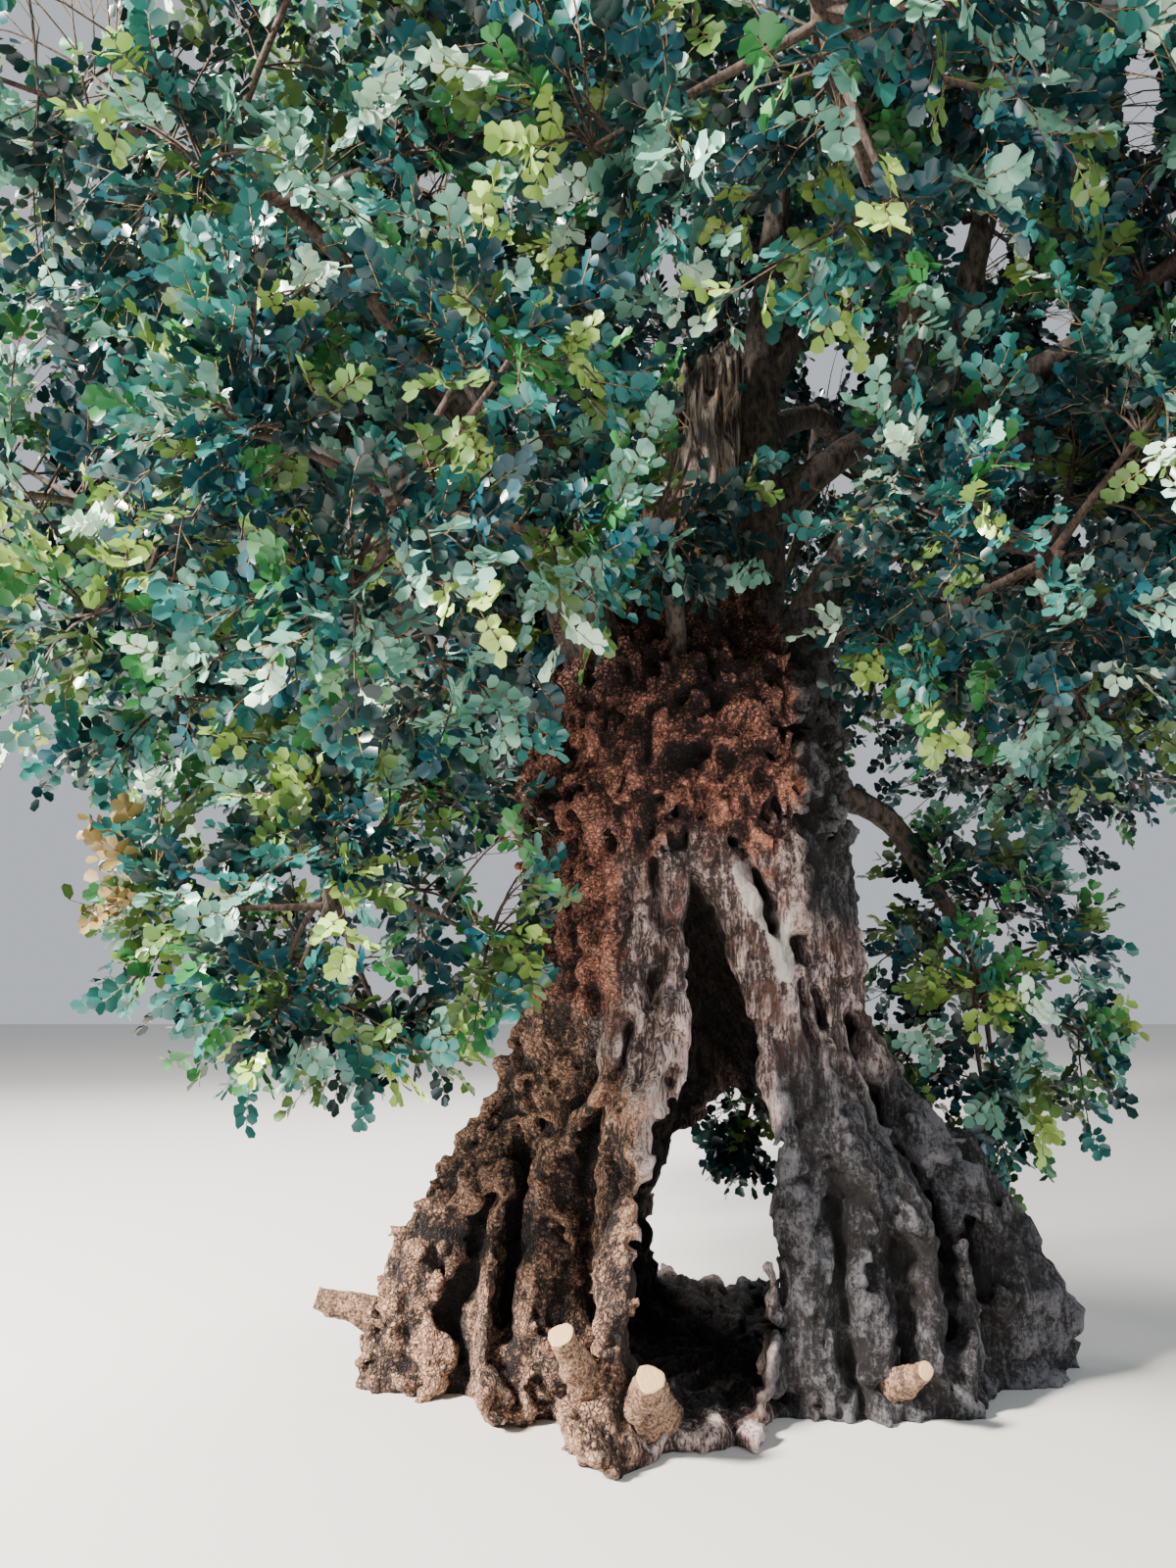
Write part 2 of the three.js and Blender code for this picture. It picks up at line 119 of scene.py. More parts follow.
def add_surround(colour=(0.88, 0.93, 1.0), strength=0.62):
    world = bpy.data.worlds.new("surround")
    world.use_nodes = True
    sockets = world.node_tree.nodes["Background"].inputs
    sockets["Color"].default_value, sockets["Strength"].default_value = (*colour, 1), strength
    bpy.context.scene.world = world


add_camera()
add_floor()
add_surround()
for lamp_name, lamp_look in LAMPS.items():
    add_lamp(lamp_name, **lamp_look)
print("camera at", EYE, "looking up", LOOKING_UP, "degrees")

# %% [markdown]
# ## Node trees written as sums
# Materials and Geometry Nodes are both trees of nodes. `Wire` stands for one output of a node and takes part in
# Python's arithmetic, so that `grain * 2 + 1` adds its own Math nodes. Everything else comes from `Recipe.node`,
# which takes the node's type, then its settings, then what goes into its sockets.

# %% Node trees written as sums


class Wire:
    def __init__(self, recipe, socket):
        self.recipe, self.socket = recipe, socket

    def maths(self, operation, *values):
        """A Math node on the given values."""
        return self.recipe.node("ShaderNodeMath", {"operation": operation}, dict(enumerate(values)))

    def __add__(self, other):
        return self.maths("ADD", self, other)

    def __sub__(self, other):
        return self.maths("SUBTRACT", self, other)

    def __rsub__(self, other):
        return self.maths("SUBTRACT", other, self)

    def __mul__(self, other):
        return self.maths("MULTIPLY", self, other)

    def clamped(self):
        return self.recipe.node("ShaderNodeClamp", {}, {0: self})

    def between(self, low, high):
        """0 where the value is low or less, 1 where it is high or more, eased in between."""
        settings = {"interpolation_type": "SMOOTHSTEP"}
        return self.recipe.node("ShaderNodeMapRange", settings, {"Value": self, "From Min": low, "From Max": high})


class Recipe:
    def __init__(self, tree):
        self.tree = tree

    def node(self, kind, settings=None, sockets=None, out=0):
        made = self.tree.nodes.new(kind)
        for name, value in (settings or {}).items():
            setattr(made, name, value)
        for key, value in (sockets or {}).items():
            if isinstance(value, Wire):
                self.tree.links.new(value.socket, made.inputs[key])
            else:
                made.inputs[key].default_value = value
        return Wire(self, made.outputs[out])

    def mix(self, share, low, high):
        """From the colour low to the colour high. A value counts as a grey."""
        return self.node("ShaderNodeMix", {"data_type": "RGBA"}, {0: share, 6: low, 7: high}, out=2)


def paint(red, green, blue):
    """A colour given as 0 to 255 on a screen, in the linear light that shaders use."""
    return (*(((c / 255 + 0.055) / 1.055) ** 2.4 for c in (red, green, blue)), 1.0)


print("a mid grey on a screen is", round(paint(128, 128, 128)[0], 3), "in a shader")

# %% [markdown]
# ## The rule of the crown
# The crown is a set of egg-shaped masses, each with one limb. Tiers of them stand on rings round the tree's axis and
# the rest hang where the tree bears them. A mass keeps to its own side of a flat wall between it and each neighbour,
# so that no two of them share a twig. The same rule, with the same seeds, made the solids.

# %% The masses of the crown
TURN = 2 * math.pi
GOLDEN_ANGLE = math.pi * (3 - math.sqrt(5))
CROWN_AXIS = (0.12, 0.33)
TIERS = {
    "middle": dict(count=7, arc=(13, 321), z=3.88, ring=(2.3, 1.78), radii=(1.08, 1.05, 0.95), joins=0.3),
    "upper": dict(count=5, arc=(20, 308), z=4.88, ring=(1.33, 1.18), radii=(1.03, 1.03, 0.88), joins=0.52),
    "skirt": dict(count=7, arc=(-33, 205), z=2.79, ring=(2.4, 1.9), radii=(1.05, 1.02, 0.89), joins=0.55),
}
OUTLIERS = [
    dict(name="top", centre=(0.42, 0.38, 5.56), radii=(0.94, 0.94, 0.79)),
    dict(name="over_fork", centre=(-0.27, -0.6, 2.83), radii=(0.35, 0.32, 0.45)),
    dict(name="low_right", centre=(1.01, 0.35, 1.21), radii=(0.5, 0.54, 0.74), start=(0.15, 0.15, 1.96)),
    dict(name="behind_hollow", centre=(0.15, 0.85, 0.7), radii=(0.15, 0.12, 0.2), start=(0.15, 0.48, 1.12)),
    dict(name="inner", centre=(-0.25, 1.5, 3.05), radii=(0.8, 0.76, 0.7), joins=0.4),
    dict(name="front_left", centre=(-1.04, -1.29, 2.52), radii=(0.8, 0.72, 0.82), joins=0.26),
    dict(name="front_right", centre=(0.96, -0.76, 2.56), radii=(0.88, 0.82, 0.78), joins=0.3),
    dict(name="low_left", centre=(-1.27, -0.66, 1.48), radii=(0.76, 0.62, 0.64), joins=0.4, off="middle_5"),
]
LIFT = 0.2  # how unevenly the masses of one tier stand
STAGGER = 0.12
FULL_REACH = 0.85
TWIG_SEEDS = 1000


def seeded(seed):
    """Numbers from 0 to 1 in an order that the seed fixes."""
    state = seed & 0xFFFFFFFF

    def draw():
        nonlocal state
        state = (state + 0x6D2B79F5) & 0xFFFFFFFF
        mixed = ((state ^ (state >> 15)) * (state | 1)) & 0xFFFFFFFF
        mixed ^= (mixed + (mixed ^ (mixed >> 7)) * (mixed | 61)) & 0xFFFFFFFF
        return (mixed ^ (mixed >> 14)) / 4294967296

    return draw


def crown_masses():
    given = []
    for tier, t in TIERS.items():
        for i in range(t["count"]):
            angle = math.radians(t["arc"][0] + (t["arc"][1] - t["arc"][0]) * i / (t["count"] - 1))
            x = CROWN_AXIS[0] + t["ring"][0] * math.cos(angle)
            y = CROWN_AXIS[1] + t["ring"][1] * math.sin(angle)
            joins = t["joins"] + STAGGER * (i % 2)
            given.append(dict(tier=tier, name=f"{tier}_{i + 1}", centre=(x, y, t["z"]), radii=t["radii"], joins=joins))
    made = []
    for i, mass in enumerate([*given, *OUTLIERS]):
        mass = dict(mass, centre=np.array(mass["centre"]), radii=np.array(mass["radii"]))
        mass["twig_random"] = seeded(TWIG_SEEDS + i)
        mass["reach"] = mass["radii"].mean()
        mass["scale"] = min(1, mass["reach"] / FULL_REACH)
        if "tier" in mass:
            mass["centre"][2] += LIFT * (seeded(i + 1)() - 0.5)
        made.append(mass)
    return made


def room_at(mass, points):
    """How deep points lie in a mass's own space: within reach, and on its side of each neighbour's wall."""
    offset = points - mass["centre"]
    room = (1 - np.linalg.norm(offset / mass["radii"], axis=-1)) * mass["reach"]
    for other in MASSES:
        if other is mass:
            continue
        away = other["centre"] - mass["centre"]
        distance = np.linalg.norm(away)
        wall = (distance**2 + mass["reach"] ** 2 - other["reach"] ** 2) / (2 * distance)
        room = np.minimum(room, wall - offset @ away / distance)
    return room


MASSES = crown_masses()
print(len(MASSES), "masses, the highest centred at", max(MASSES, key=lambda m: m["centre"][2])["centre"].round(2))

# %% [markdown]
# ## The rule of the limbs
# Each mass has one tapering limb, bent once. The four main limbs leave the fork of the trunk and the others branch
# off them. A limb is a curve with three control points: its start, its bend and its tip.

# %% The limbs
FORK_AXIS = (-0.13, 0.04)
FORK_HEIGHT = 2.38
FORK = dict(ring=0.3, sunk=0.17, lean=0.45, rise=0.42, follow=0.7)
LIMB = dict(root=0.122, stoutness=0.055, thinning=0.78, tip=0.034, taper=0.7)
ENTRY = dict(depth=0.72, nearest=0.8)
MAIN_LIMBS = ["top", "middle_3", "middle_5", "middle_7"]
TRUNK_BORNE = [*MAIN_LIMBS, "over_fork", "low_right", "behind_hollow"]
UP = np.array((0.0, 0.0, 1.0))


def unit(vectors):
    return vectors / np.maximum(np.linalg.norm(vectors, axis=-1, keepdims=True), 1e-9)


def along_bend(bend, share):
    """Points on a curve of three control points, and the way it runs there."""
    a, b, c = bend
    t = np.asarray(share, float)[..., None]
    return a * (1 - t) ** 2 + b * 2 * t * (1 - t) + c * t**2, unit((b - a) * (1 - t) + (c - b) * t)


def bearer_of(mass, towards, limbs):
    if "off" in mass:
        return next(limb for limb in limbs if limb["mass"]["name"] == mass["off"])
    if mass.get("tier") in ("middle", "upper"):
        bearers = [limb for limb in limbs if limb["mass"]["name"] in MAIN_LIMBS]
    else:
        bearers = [limb for limb in limbs if limb["mass"].get("tier") == "middle"]
    return min(bearers, key=lambda limb: abs((limb["towards"] - towards + math.pi) % TURN - math.pi))


def grow_limb(mass, limbs):
    towards = math.atan2(mass["centre"][1] - FORK_AXIS[1], mass["centre"][0] - FORK_AXIS[0])
    outward = np.array((math.cos(towards), math.sin(towards), 0.0))
    start = np.array((*FORK_AXIS, FORK_HEIGHT - FORK["sunk"])) + outward * FORK["ring"]
    away = mass["centre"] - start
    root = min(LIMB["root"], LIMB["stoutness"] * np.linalg.norm(away))
    heading = outward * FORK["lean"] * min(1, math.hypot(away[0], away[1]) / abs(away[2])) + UP
    if "start" in mass:
        start = np.array(mass["start"])
        heading = outward + UP * FORK["lean"]
        root = LIMB["stoutness"] * np.linalg.norm(mass["centre"] - start)
    elif mass["name"] not in TRUNK_BORNE:
        parent = bearer_of(mass, towards, limbs)
        start, follow = along_bend(parent["bend"], mass["joins"])
        heading = unit(mass["centre"] - start) + follow * FORK["follow"]
        root = (parent["radii"][0] + (parent["radii"][1] - parent["radii"][0]) * mass["joins"]) * LIMB["thinning"]
    bend = start + unit(heading) * FORK["rise"] * np.linalg.norm(start - mass["centre"])
    back = bend - mass["centre"]
    reached = np.linalg.norm(back / mass["radii"])
    tip = mass["centre"] + back * min(ENTRY["depth"] / reached, ENTRY["nearest"])
    radii = (root, min(LIMB["tip"], LIMB["taper"] * root))
    return dict(mass=mass, towards=towards, bend=np.array((start, bend, tip)), radii=radii)


LIMBS = []
for mass in sorted(MASSES, key=lambda m: 0 if m["name"] in TRUNK_BORNE else 1 + (m.get("tier") != "middle")):
    LIMBS.append(grow_limb(mass, LIMBS))
print(len(LIMBS), "limbs, the stoutest", round(2 * max(limb["radii"][0] for limb in LIMBS), 2), "m across")

# %% [markdown]
# ## The trunk as a field of distances
# Long growth and rot give a shape that no loft or sculpted ball resembles: ribs that part and
# join, a hollow right through, lips round it. So the trunk is a field: a block of small cubes, each of which knows
# how far it is from the wood. Adding, hollowing and wrinkling wood are then sums, and a skin is drawn
# through the cubes where the distance is nothing. First the noise that wrinkles it: lumps, folds and knobs.

# %% Noise for the wood


def lattice_noise(points, seed, size):
    """Smooth lumps of about that size, from -1 to 1. A size of three numbers stretches them."""
    table = np.random.default_rng(seed).random((32, 32, 32), dtype=np.float32) * 2 - 1
    scaled = points / np.array(size, np.float32)
    cell = np.floor(scaled).astype(np.int32)
    part = scaled - cell
    part = part * part * (3 - 2 * part)
    total = np.zeros(len(points), np.float32)
    for corner in itertools.product((0, 1), repeat=3):
        weight = np.ones(len(points), np.float32)
        for axis, step in enumerate(corner):
            weight *= part[:, axis] if step else 1 - part[:, axis]
        spot = (cell + np.array(corner, np.int32)) & 31
        total += weight * table[spot[:, 0], spot[:, 1], spot[:, 2]]
    return total


def ridge_noise(points, seed, size):
    """Sharp creases between rounded ridges, from -1 to 1."""
    return 2 * np.abs(lattice_noise(points, seed, size)) ** 0.7 - 1


def knob_noise(points, seed, size):
    """Round knobs of about that size: 1 at the middle of each and 0 in the gaps."""
    table = np.random.default_rng(seed).random((16, 16, 16, 3), dtype=np.float32)
    scaled = points / np.array(size, np.float32)
    cell = np.floor(scaled).astype(np.int32)
    nearest = np.full(len(points), 9, np.float32)
    for step in itertools.product((-1, 0, 1), repeat=3):
        spot = cell + np.array(step, np.int32)
        wrapped = spot & 15
        centre = spot + table[wrapped[:, 0], wrapped[:, 1], wrapped[:, 2]]
        nearest = np.minimum(nearest, ((scaled - centre) ** 2).sum(1))
    return np.clip(1 - np.sqrt(nearest) / 0.9, 0, 1)


def eased(value, low, high):
    share = np.clip((value - low) / (high - low), 0, 1)
    return share * share * (3 - 2 * share)


sample = np.random.default_rng(1).random((1000, 3)).astype(np.float32)
lumps = lattice_noise(sample, 2, 0.1)
print("lumps run from", lumps.min().round(2), "to", lumps.max().round(2))

# %% [markdown]
# ### The column and the hollow
# The column's plan is its reach from a leaning axis, by compass degrees: long buttresses at the foot, a round waist
# and a shoulder under the fork. The hollow runs from the mouth in front to a gap at the back, as one arch
# that changes its outline on the way.

# %% The column
WAIST_HEIGHT = 1.62
FOOT_AXIS = (-0.03, 0.0)
FOOT_REACH = [
    (0, 1.17), (28, 0.9), (55, 0.98), (82, 0.7), (112, 0.93), (146, 0.82), (172, 1.13), (188, 1.19), (203, 0.86),
    (213, 0.9), (226, 0.6), (243, 0.93), (262, 0.6), (285, 0.47), (312, 0.64), (328, 0.8), (343, 0.85),
]
WAIST_REACH = [(0, 0.56), (60, 0.52), (120, 0.56), (180, 0.565), (235, 0.54), (270, 0.5), (310, 0.56)]
FORK_REACH = 0.52
FLARE = dict(height=0.7, softness=0.12, share=0.68)
SHOULDER = dict(height=1.88, spread=0.23, swell=0.095, towards=190, width=75)
DEGREES = np.arange(361.0)


def round_the_compass(keys, degrees):
    at = np.mod(degrees, 360)
    value = np.zeros_like(at)
    for (low_key, low), (high_key, high) in zip(keys, [*keys[1:], (360, keys[0][1])]):
        here = (at >= low_key) & (at < high_key)
        value[here] = low + (high - low) * eased(at[here], low_key, high_key)
    return value


def trunk_axis(height):
    share = eased(height, 0, WAIST_HEIGHT)
    return FOOT_AXIS[0] + (FORK_AXIS[0] - FOOT_AXIS[0]) * share, FORK_AXIS[1] * share


def trunk_reach(height):
    """How far the trunk reaches from its axis at each compass degree, at one height."""
    drop = 1 / (1 + math.exp((height - FLARE["height"]) / FLARE["softness"]))
    flare = (1 - FLARE["share"]) * max(0, 1 - height / WAIST_HEIGHT) + FLARE["share"] * drop
    waist, foot = round_the_compass(WAIST_REACH, DEGREES), round_the_compass(FOOT_REACH, DEGREES)
    aside = (np.mod(DEGREES - SHOULDER["towards"] + 180, 360) - 180) / SHOULDER["width"]
    up = (height - SHOULDER["height"]) / SHOULDER["spread"]
    column = waist + (foot - waist) * flare + SHOULDER["swell"] * np.exp(-(aside**2) - up**2)
    return column + (FORK_REACH - column) * eased(height, SHOULDER["height"], FORK_HEIGHT)


def beyond_column(x, y, z):
    """How far points are outside the column, at the heights z of a grid's levels."""
    field = np.empty((len(x), len(y), len(z)), np.float32)
    for level, height in enumerate(z):
        axis_x, axis_y = trunk_axis(height)
        dx, dy = np.meshgrid(x - axis_x, y - axis_y, indexing="ij")
        degrees = np.degrees(np.arctan2(dy, dx)) % 360
        field[:, :, level] = np.hypot(dx, dy) - np.interp(degrees, DEGREES, trunk_reach(max(0, height)))
    return field


print("the foot reaches", trunk_reach(0).max().round(2), "m and the waist", trunk_reach(WAIST_HEIGHT).max().round(2))

# %% The hollow
MOUTH = [
    (-0.165, 1.62), (-0.122, 1.54), (-0.085, 1.4), (0.0, 1.16), (0.05, 0.98), (0.078, 0.8), (0.08, 0.6), (0.055, 0.34),
    (0.04, 0.06), (-0.35, 0.06), (-0.39, 0.3), (-0.385, 0.52), (-0.36, 0.68), (-0.29, 0.84), (-0.212, 0.98),
    (-0.178, 1.18), (-0.172, 1.42),
]
CHAMBER = [
    (-0.14, 1.5), (-0.05, 1.42), (0.03, 1.28), (0.13, 1.01), (0.19, 0.88), (0.23, 0.78), (0.3, 0.56), (0.3, 0.3),
    (0.25, 0.05), (-0.45, 0.05), (-0.5, 0.3), (-0.47, 0.56), (-0.4, 0.78), (-0.34, 0.92), (-0.29, 1.01),
    (-0.24, 1.2), (-0.2, 1.38),
]
VAULT = [
    (0.0, 1.18), (0.08, 1.12), (0.15, 1.04), (0.2, 0.94), (0.26, 0.84), (0.3, 0.76), (0.37, 0.56), (0.38, 0.3),
    (0.33, 0.08), (-0.38, 0.08), (-0.43, 0.3), (-0.4, 0.56), (-0.3, 0.76), (-0.24, 0.85), (-0.18, 0.94),
    (-0.12, 1.04), (-0.06, 1.13),
]
BACK = [
    (0.06, 0.88), (0.11, 0.86), (0.16, 0.82), (0.2, 0.76), (0.24, 0.7), (0.29, 0.62), (0.335, 0.45), (0.34, 0.28),
    (0.33, 0.13), (-0.26, 0.13), (-0.27, 0.28), (-0.245, 0.45), (-0.17, 0.62), (-0.12, 0.7), (-0.07, 0.76),
    (-0.02, 0.82), (0.02, 0.86),
]
HOLLOW_Y = (-1.4, -0.45, -0.15, 0.25, 0.56, 1.4)
HOLLOW = np.array([MOUTH, MOUTH, CHAMBER, VAULT, BACK, BACK])


def beyond_outline(px, pz, corners):
    """How far points of a plane are outside a closed outline, and less than 0 inside it."""
    nearest = np.full(px.shape, 1e9)
    inside = np.zeros(px.shape, bool)
    for (x0, z0), (x1, z1) in zip(corners, np.roll(corners, -1, axis=0)):
        ex, ez, wx, wz = x1 - x0, z1 - z0, px - x0, pz - z0
        share = np.clip((wx * ex + wz * ez) / (ex * ex + ez * ez), 0, 1)
        nearest = np.minimum(nearest, (wx - ex * share) ** 2 + (wz - ez * share) ** 2)
        rise = np.where(ez == 0, 1e-9, ez)
        inside ^= ((z0 > pz) != (z1 > pz)) & (px < ex * (pz - z0) / rise + x0)
    return np.sqrt(nearest) * np.where(inside, -1, 1)


def beyond_hollow(x, y, z):
    px, pz = np.meshgrid(x, z, indexing="ij")
    field = np.empty((len(x), len(y), len(z)), np.float32)
    for row, depth in enumerate(y):
        after = int(np.clip(np.searchsorted(HOLLOW_Y, depth), 1, len(HOLLOW_Y) - 1))
        share = (depth - HOLLOW_Y[after - 1]) / (HOLLOW_Y[after] - HOLLOW_Y[after - 1])
        field[:, row, :] = beyond_outline(px, pz, HOLLOW[after - 1] * (1 - share) + HOLLOW[after] * share)
    return field


print("the hollow is an arch of", HOLLOW.shape[1], "corners at", len(HOLLOW_Y), "depths")

# %% [markdown]
# ### Ribs, creases and knobs
# Seen from the front the trunk is drawn by a few strong lines: the dark gaps between the left lobe, a thin twisted
# rib and the front leg, the folds above them, the slit beside a strip of bare wood, and the ridges that run down the
# right leg. Each is a stroke: a short path in the plane of the view, with a height (less than 0 for a
# crease) and a width. Round the whole trunk, folds run up the flare, and knobs cover the foot and the burl.

# %% Strokes and relief
STROKES = [
    # height, width, path of (x, z)
    (-0.13, 0.04, [(-0.80, 0.60), (-0.83, 0.52), (-0.86, 0.37), (-0.915, 0.23), (-0.90, 0.04)]),
    (-0.13, 0.04, [(-0.69, 0.70), (-0.70, 0.55), (-0.72, 0.44), (-0.74, 0.35), (-0.755, 0.26)]),
    (0.07, 0.032, [(-0.76, 0.66), (-0.785, 0.56), (-0.80, 0.45), (-0.81, 0.33), (-0.82, 0.2), (-0.78, 0.05)]),
    (-0.045, 0.035, [(-0.48, 1.22), (-0.49, 1.06), (-0.55, 1.01), (-0.65, 0.84), (-0.75, 0.73)]),
    (0.045, 0.035, [(-0.25, 1.20), (-0.29, 1.01), (-0.35, 0.89), (-0.355, 0.78)]),
    (0.04, 0.03, [(-0.40, 1.15), (-0.45, 0.98), (-0.50, 0.88), (-0.57, 0.78)]),
    (0.04, 0.03, [(-0.50, 1.02), (-0.60, 0.91), (-0.69, 0.81)]),
    (-0.045, 0.024, [(-0.36, 1.16), (-0.42, 0.95), (-0.48, 0.82)]),
    (-0.045, 0.024, [(-0.24, 1.10), (-0.26, 0.93), (-0.32, 0.79)]),
    (-0.04, 0.022, [(-0.46, 1.02), (-0.54, 0.90), (-0.62, 0.80)]),
    (0.07, 0.05, [(-0.66, 0.30), (-0.60, 0.20), (-0.50, 0.07), (-0.40, 0.0)]),
    (-0.05, 0.025, [(-0.30, 1.66), (-0.285, 1.52), (-0.286, 1.40), (-0.295, 1.22)]),
    (0.03, 0.04, [(-0.23, 1.62), (-0.225, 1.40), (-0.23, 1.20)]),
    (-0.15, 0.019, [(-0.04, 1.70), (0.02, 1.62), (0.085, 1.53), (0.105, 1.46)]),
    (-0.05, 0.014, [(0.11, 1.46), (0.145, 1.37), (0.18, 1.22), (0.215, 1.05)]),
    (0.02, 0.03, [(0.0, 1.62), (0.06, 1.48), (0.105, 1.42), (0.127, 1.30)]),
    (-0.08, 0.018, [(0.18, 1.42), (0.19, 1.35)]),
    (-0.08, 0.018, [(0.222, 1.25), (0.242, 1.14)]),
    (-0.075, 0.04, [(0.34, 1.15), (0.384, 1.06), (0.466, 0.84), (0.53, 0.71), (0.61, 0.57), (0.62, 0.4), (0.6, 0.2)]),
    (0.045, 0.05, [(0.42, 1.10), (0.51, 0.92), (0.64, 0.73), (0.77, 0.62), (0.81, 0.45)]),
    (0.03, 0.04, [(0.13, 0.62), (0.17, 0.39), (0.16, 0.10)]),
    (-0.05, 0.026, [(0.24, 0.62), (0.266, 0.50), (0.276, 0.18), (0.31, 0.06)]),
    (0.03, 0.04, [(0.33, 0.75), (0.38, 0.50), (0.39, 0.15)]),
    (-0.035, 0.024, [(0.43, 0.62), (0.455, 0.45), (0.45, 0.15)]),
    (0.03, 0.035, [(0.48, 0.66), (0.53, 0.50), (0.52, 0.15)]),
    (0.03, 0.04, [(0.66, 0.52), (0.67, 0.36), (0.66, 0.12)]),
    (-0.04, 0.03, [(0.73, 0.5), (0.735, 0.3), (0.72, 0.1)]),
    (-0.035, 0.02, [(-0.50, 0.78), (-0.52, 0.55), (-0.50, 0.3)]),
    (-0.03, 0.02, [(0.30, 1.45), (0.36, 1.25), (0.46, 1.0)]),
    (0.05, 0.05, [(0.60, 1.62), (0.50, 1.30)]),
]
BURL = dict(low=1.62, full=1.82, fades=(2.3, 2.6))  # heights
RELIEF = dict(  # the seed of each kind of relief and its size in metres: one number, or across, across and up
    folds=(11, (0.10, 0.10, 0.8)), blocks=(12, (0.055, 0.055, 0.15)), chips=(19, (0.03, 0.03, 0.055)),
    knobs=(13, 0.095), small_knobs=(14, 0.043), bosses=(20, 0.16), holes=(17, 0.12), grit=(16, 0.026),
    lumps=(15, 0.2), small_lumps=(18, 0.09),
)
COLUMN_RADIUS = 0.6  # of the cylinder that the pattern of the folds is laid on


def gap_to_path(px, pz, path):
    """How far points of a plane are from a path of straight pieces."""
    nearest = np.full(len(px), 9.0, np.float32)
    for (x0, z0), (x1, z1) in zip(path, path[1:]):
        ex, ez = x1 - x0, z1 - z0
        share = np.clip(((px - x0) * ex + (pz - z0) * ez) / (ex * ex + ez * ez), 0, 1)
        nearest = np.minimum(nearest, np.hypot(px - x0 - ex * share, pz - z0 - ez * share))
    return nearest


def along_strokes(points):
    """How much the strokes raise or sink the front of the trunk at each point."""
    front = eased(-points[:, 1], -0.02, 0.14)
    raised = np.zeros(len(points), np.float32)
    px = points[:, 0] + 0.022 * lattice_noise(points, 71, 0.13) + 0.010 * lattice_noise(points, 72, 0.045)
    pz = points[:, 2] + 0.030 * lattice_noise(points, 73, 0.16)
    ragged = np.maximum(0.35, 1 + 0.8 * lattice_noise(points, 74, 0.12))
    for height, width, path in STROKES:
        raised += height * np.exp(-((gap_to_path(px, pz, path) / (width * ragged)) ** 2)) * front
    return raised * (1 + 0.5 * lattice_noise(points, 75, 0.1))


def round_the_trunk(points):
    """Points carried straight in or out to a cylinder, so that what is even on it follows the flare."""
    share = eased(points[:, 2], 0, WAIST_HEIGHT)
    dx = points[:, 0] - (FOOT_AXIS[0] + (FORK_AXIS[0] - FOOT_AXIS[0]) * share)
    dy = points[:, 1] - FORK_AXIS[1] * share
    angle = np.arctan2(dy, dx)
    return np.stack((COLUMN_RADIUS * np.cos(angle), COLUMN_RADIUS * np.sin(angle), points[:, 2]), axis=1)


def bark_relief(points):
    """Blocks, folds, knobs and holes of the bark: how far each point stands out by them, in metres."""
    wrapped = round_the_trunk(points) + 0.05 * lattice_noise(points, 5, 0.28)[:, None]
    wrapped += 0.014 * lattice_noise(points, 6, 0.07)[:, None]
    burl = eased(points[:, 2], BURL["low"], BURL["full"]) * (1 - 0.7 * eased(points[:, 2], *BURL["fades"]))
    foot = 1 - eased(points[:, 2], 0.7, 1.15)
    left = np.maximum(foot * eased(-points[:, 0], 0.35, 0.6), eased(-points[:, 0], 0.44, 0.56) * (1 - burl))
    right = foot * eased(points[:, 0], 0.05, 0.3)
    folds = ridge_noise(wrapped, *RELIEF["folds"]) * (1 - 0.8 * burl)
    blocks = ridge_noise(wrapped, *RELIEF["blocks"])
    chips = ridge_noise(wrapped, *RELIEF["chips"])
    knobs = knob_noise(points, *RELIEF["knobs"]) - 0.4
    small_knobs = knob_noise(points, *RELIEF["small_knobs"]) - 0.4
    bosses = knob_noise(points + 0.05 * folds[:, None], *RELIEF["bosses"]) - 0.35
    holes = np.clip(knob_noise(points + 0.04 * blocks[:, None], *RELIEF["holes"]) - 0.45, 0, 1) * burl
    return (
        0.022 * folds + (0.016 + 0.014 * right - 0.004 * left) * blocks + (0.012 + 0.006 * right) * chips
        + 0.008 * lattice_noise(points, *RELIEF["grit"]) + knobs * (0.012 + 0.03 * left + 0.045 * burl + 0.015 * foot)
        + small_knobs * (0.012 + 0.028 * left + 0.036 * burl + 0.014 * foot) + 0.05 * bosses * burl - 0.3 * holes
    )


def relief(points):
    """How far the wood stands out of the plain column at each point, in metres."""
    lumps = lattice_noise(points, *RELIEF["lumps"]) + 0.5 * lattice_noise(points, *RELIEF["small_lumps"])
    return bark_relief(points) + 0.024 * lumps + along_strokes(points)


print(len(STROKES), "strokes on the front of the trunk")

# %% [markdown]
# ### From field to skin
# The roots of the limbs, the live stem on the right shoulder and the lumps on the sill of the mouth are chains of
# balls. They are joined to the column with a soft minimum, which leaves a fillet like the collar of a real branch.
# The hollow is then taken away with a soft maximum, which rounds its lips. Only the cubes close to the skin
# get the relief, as noise is the slow part.

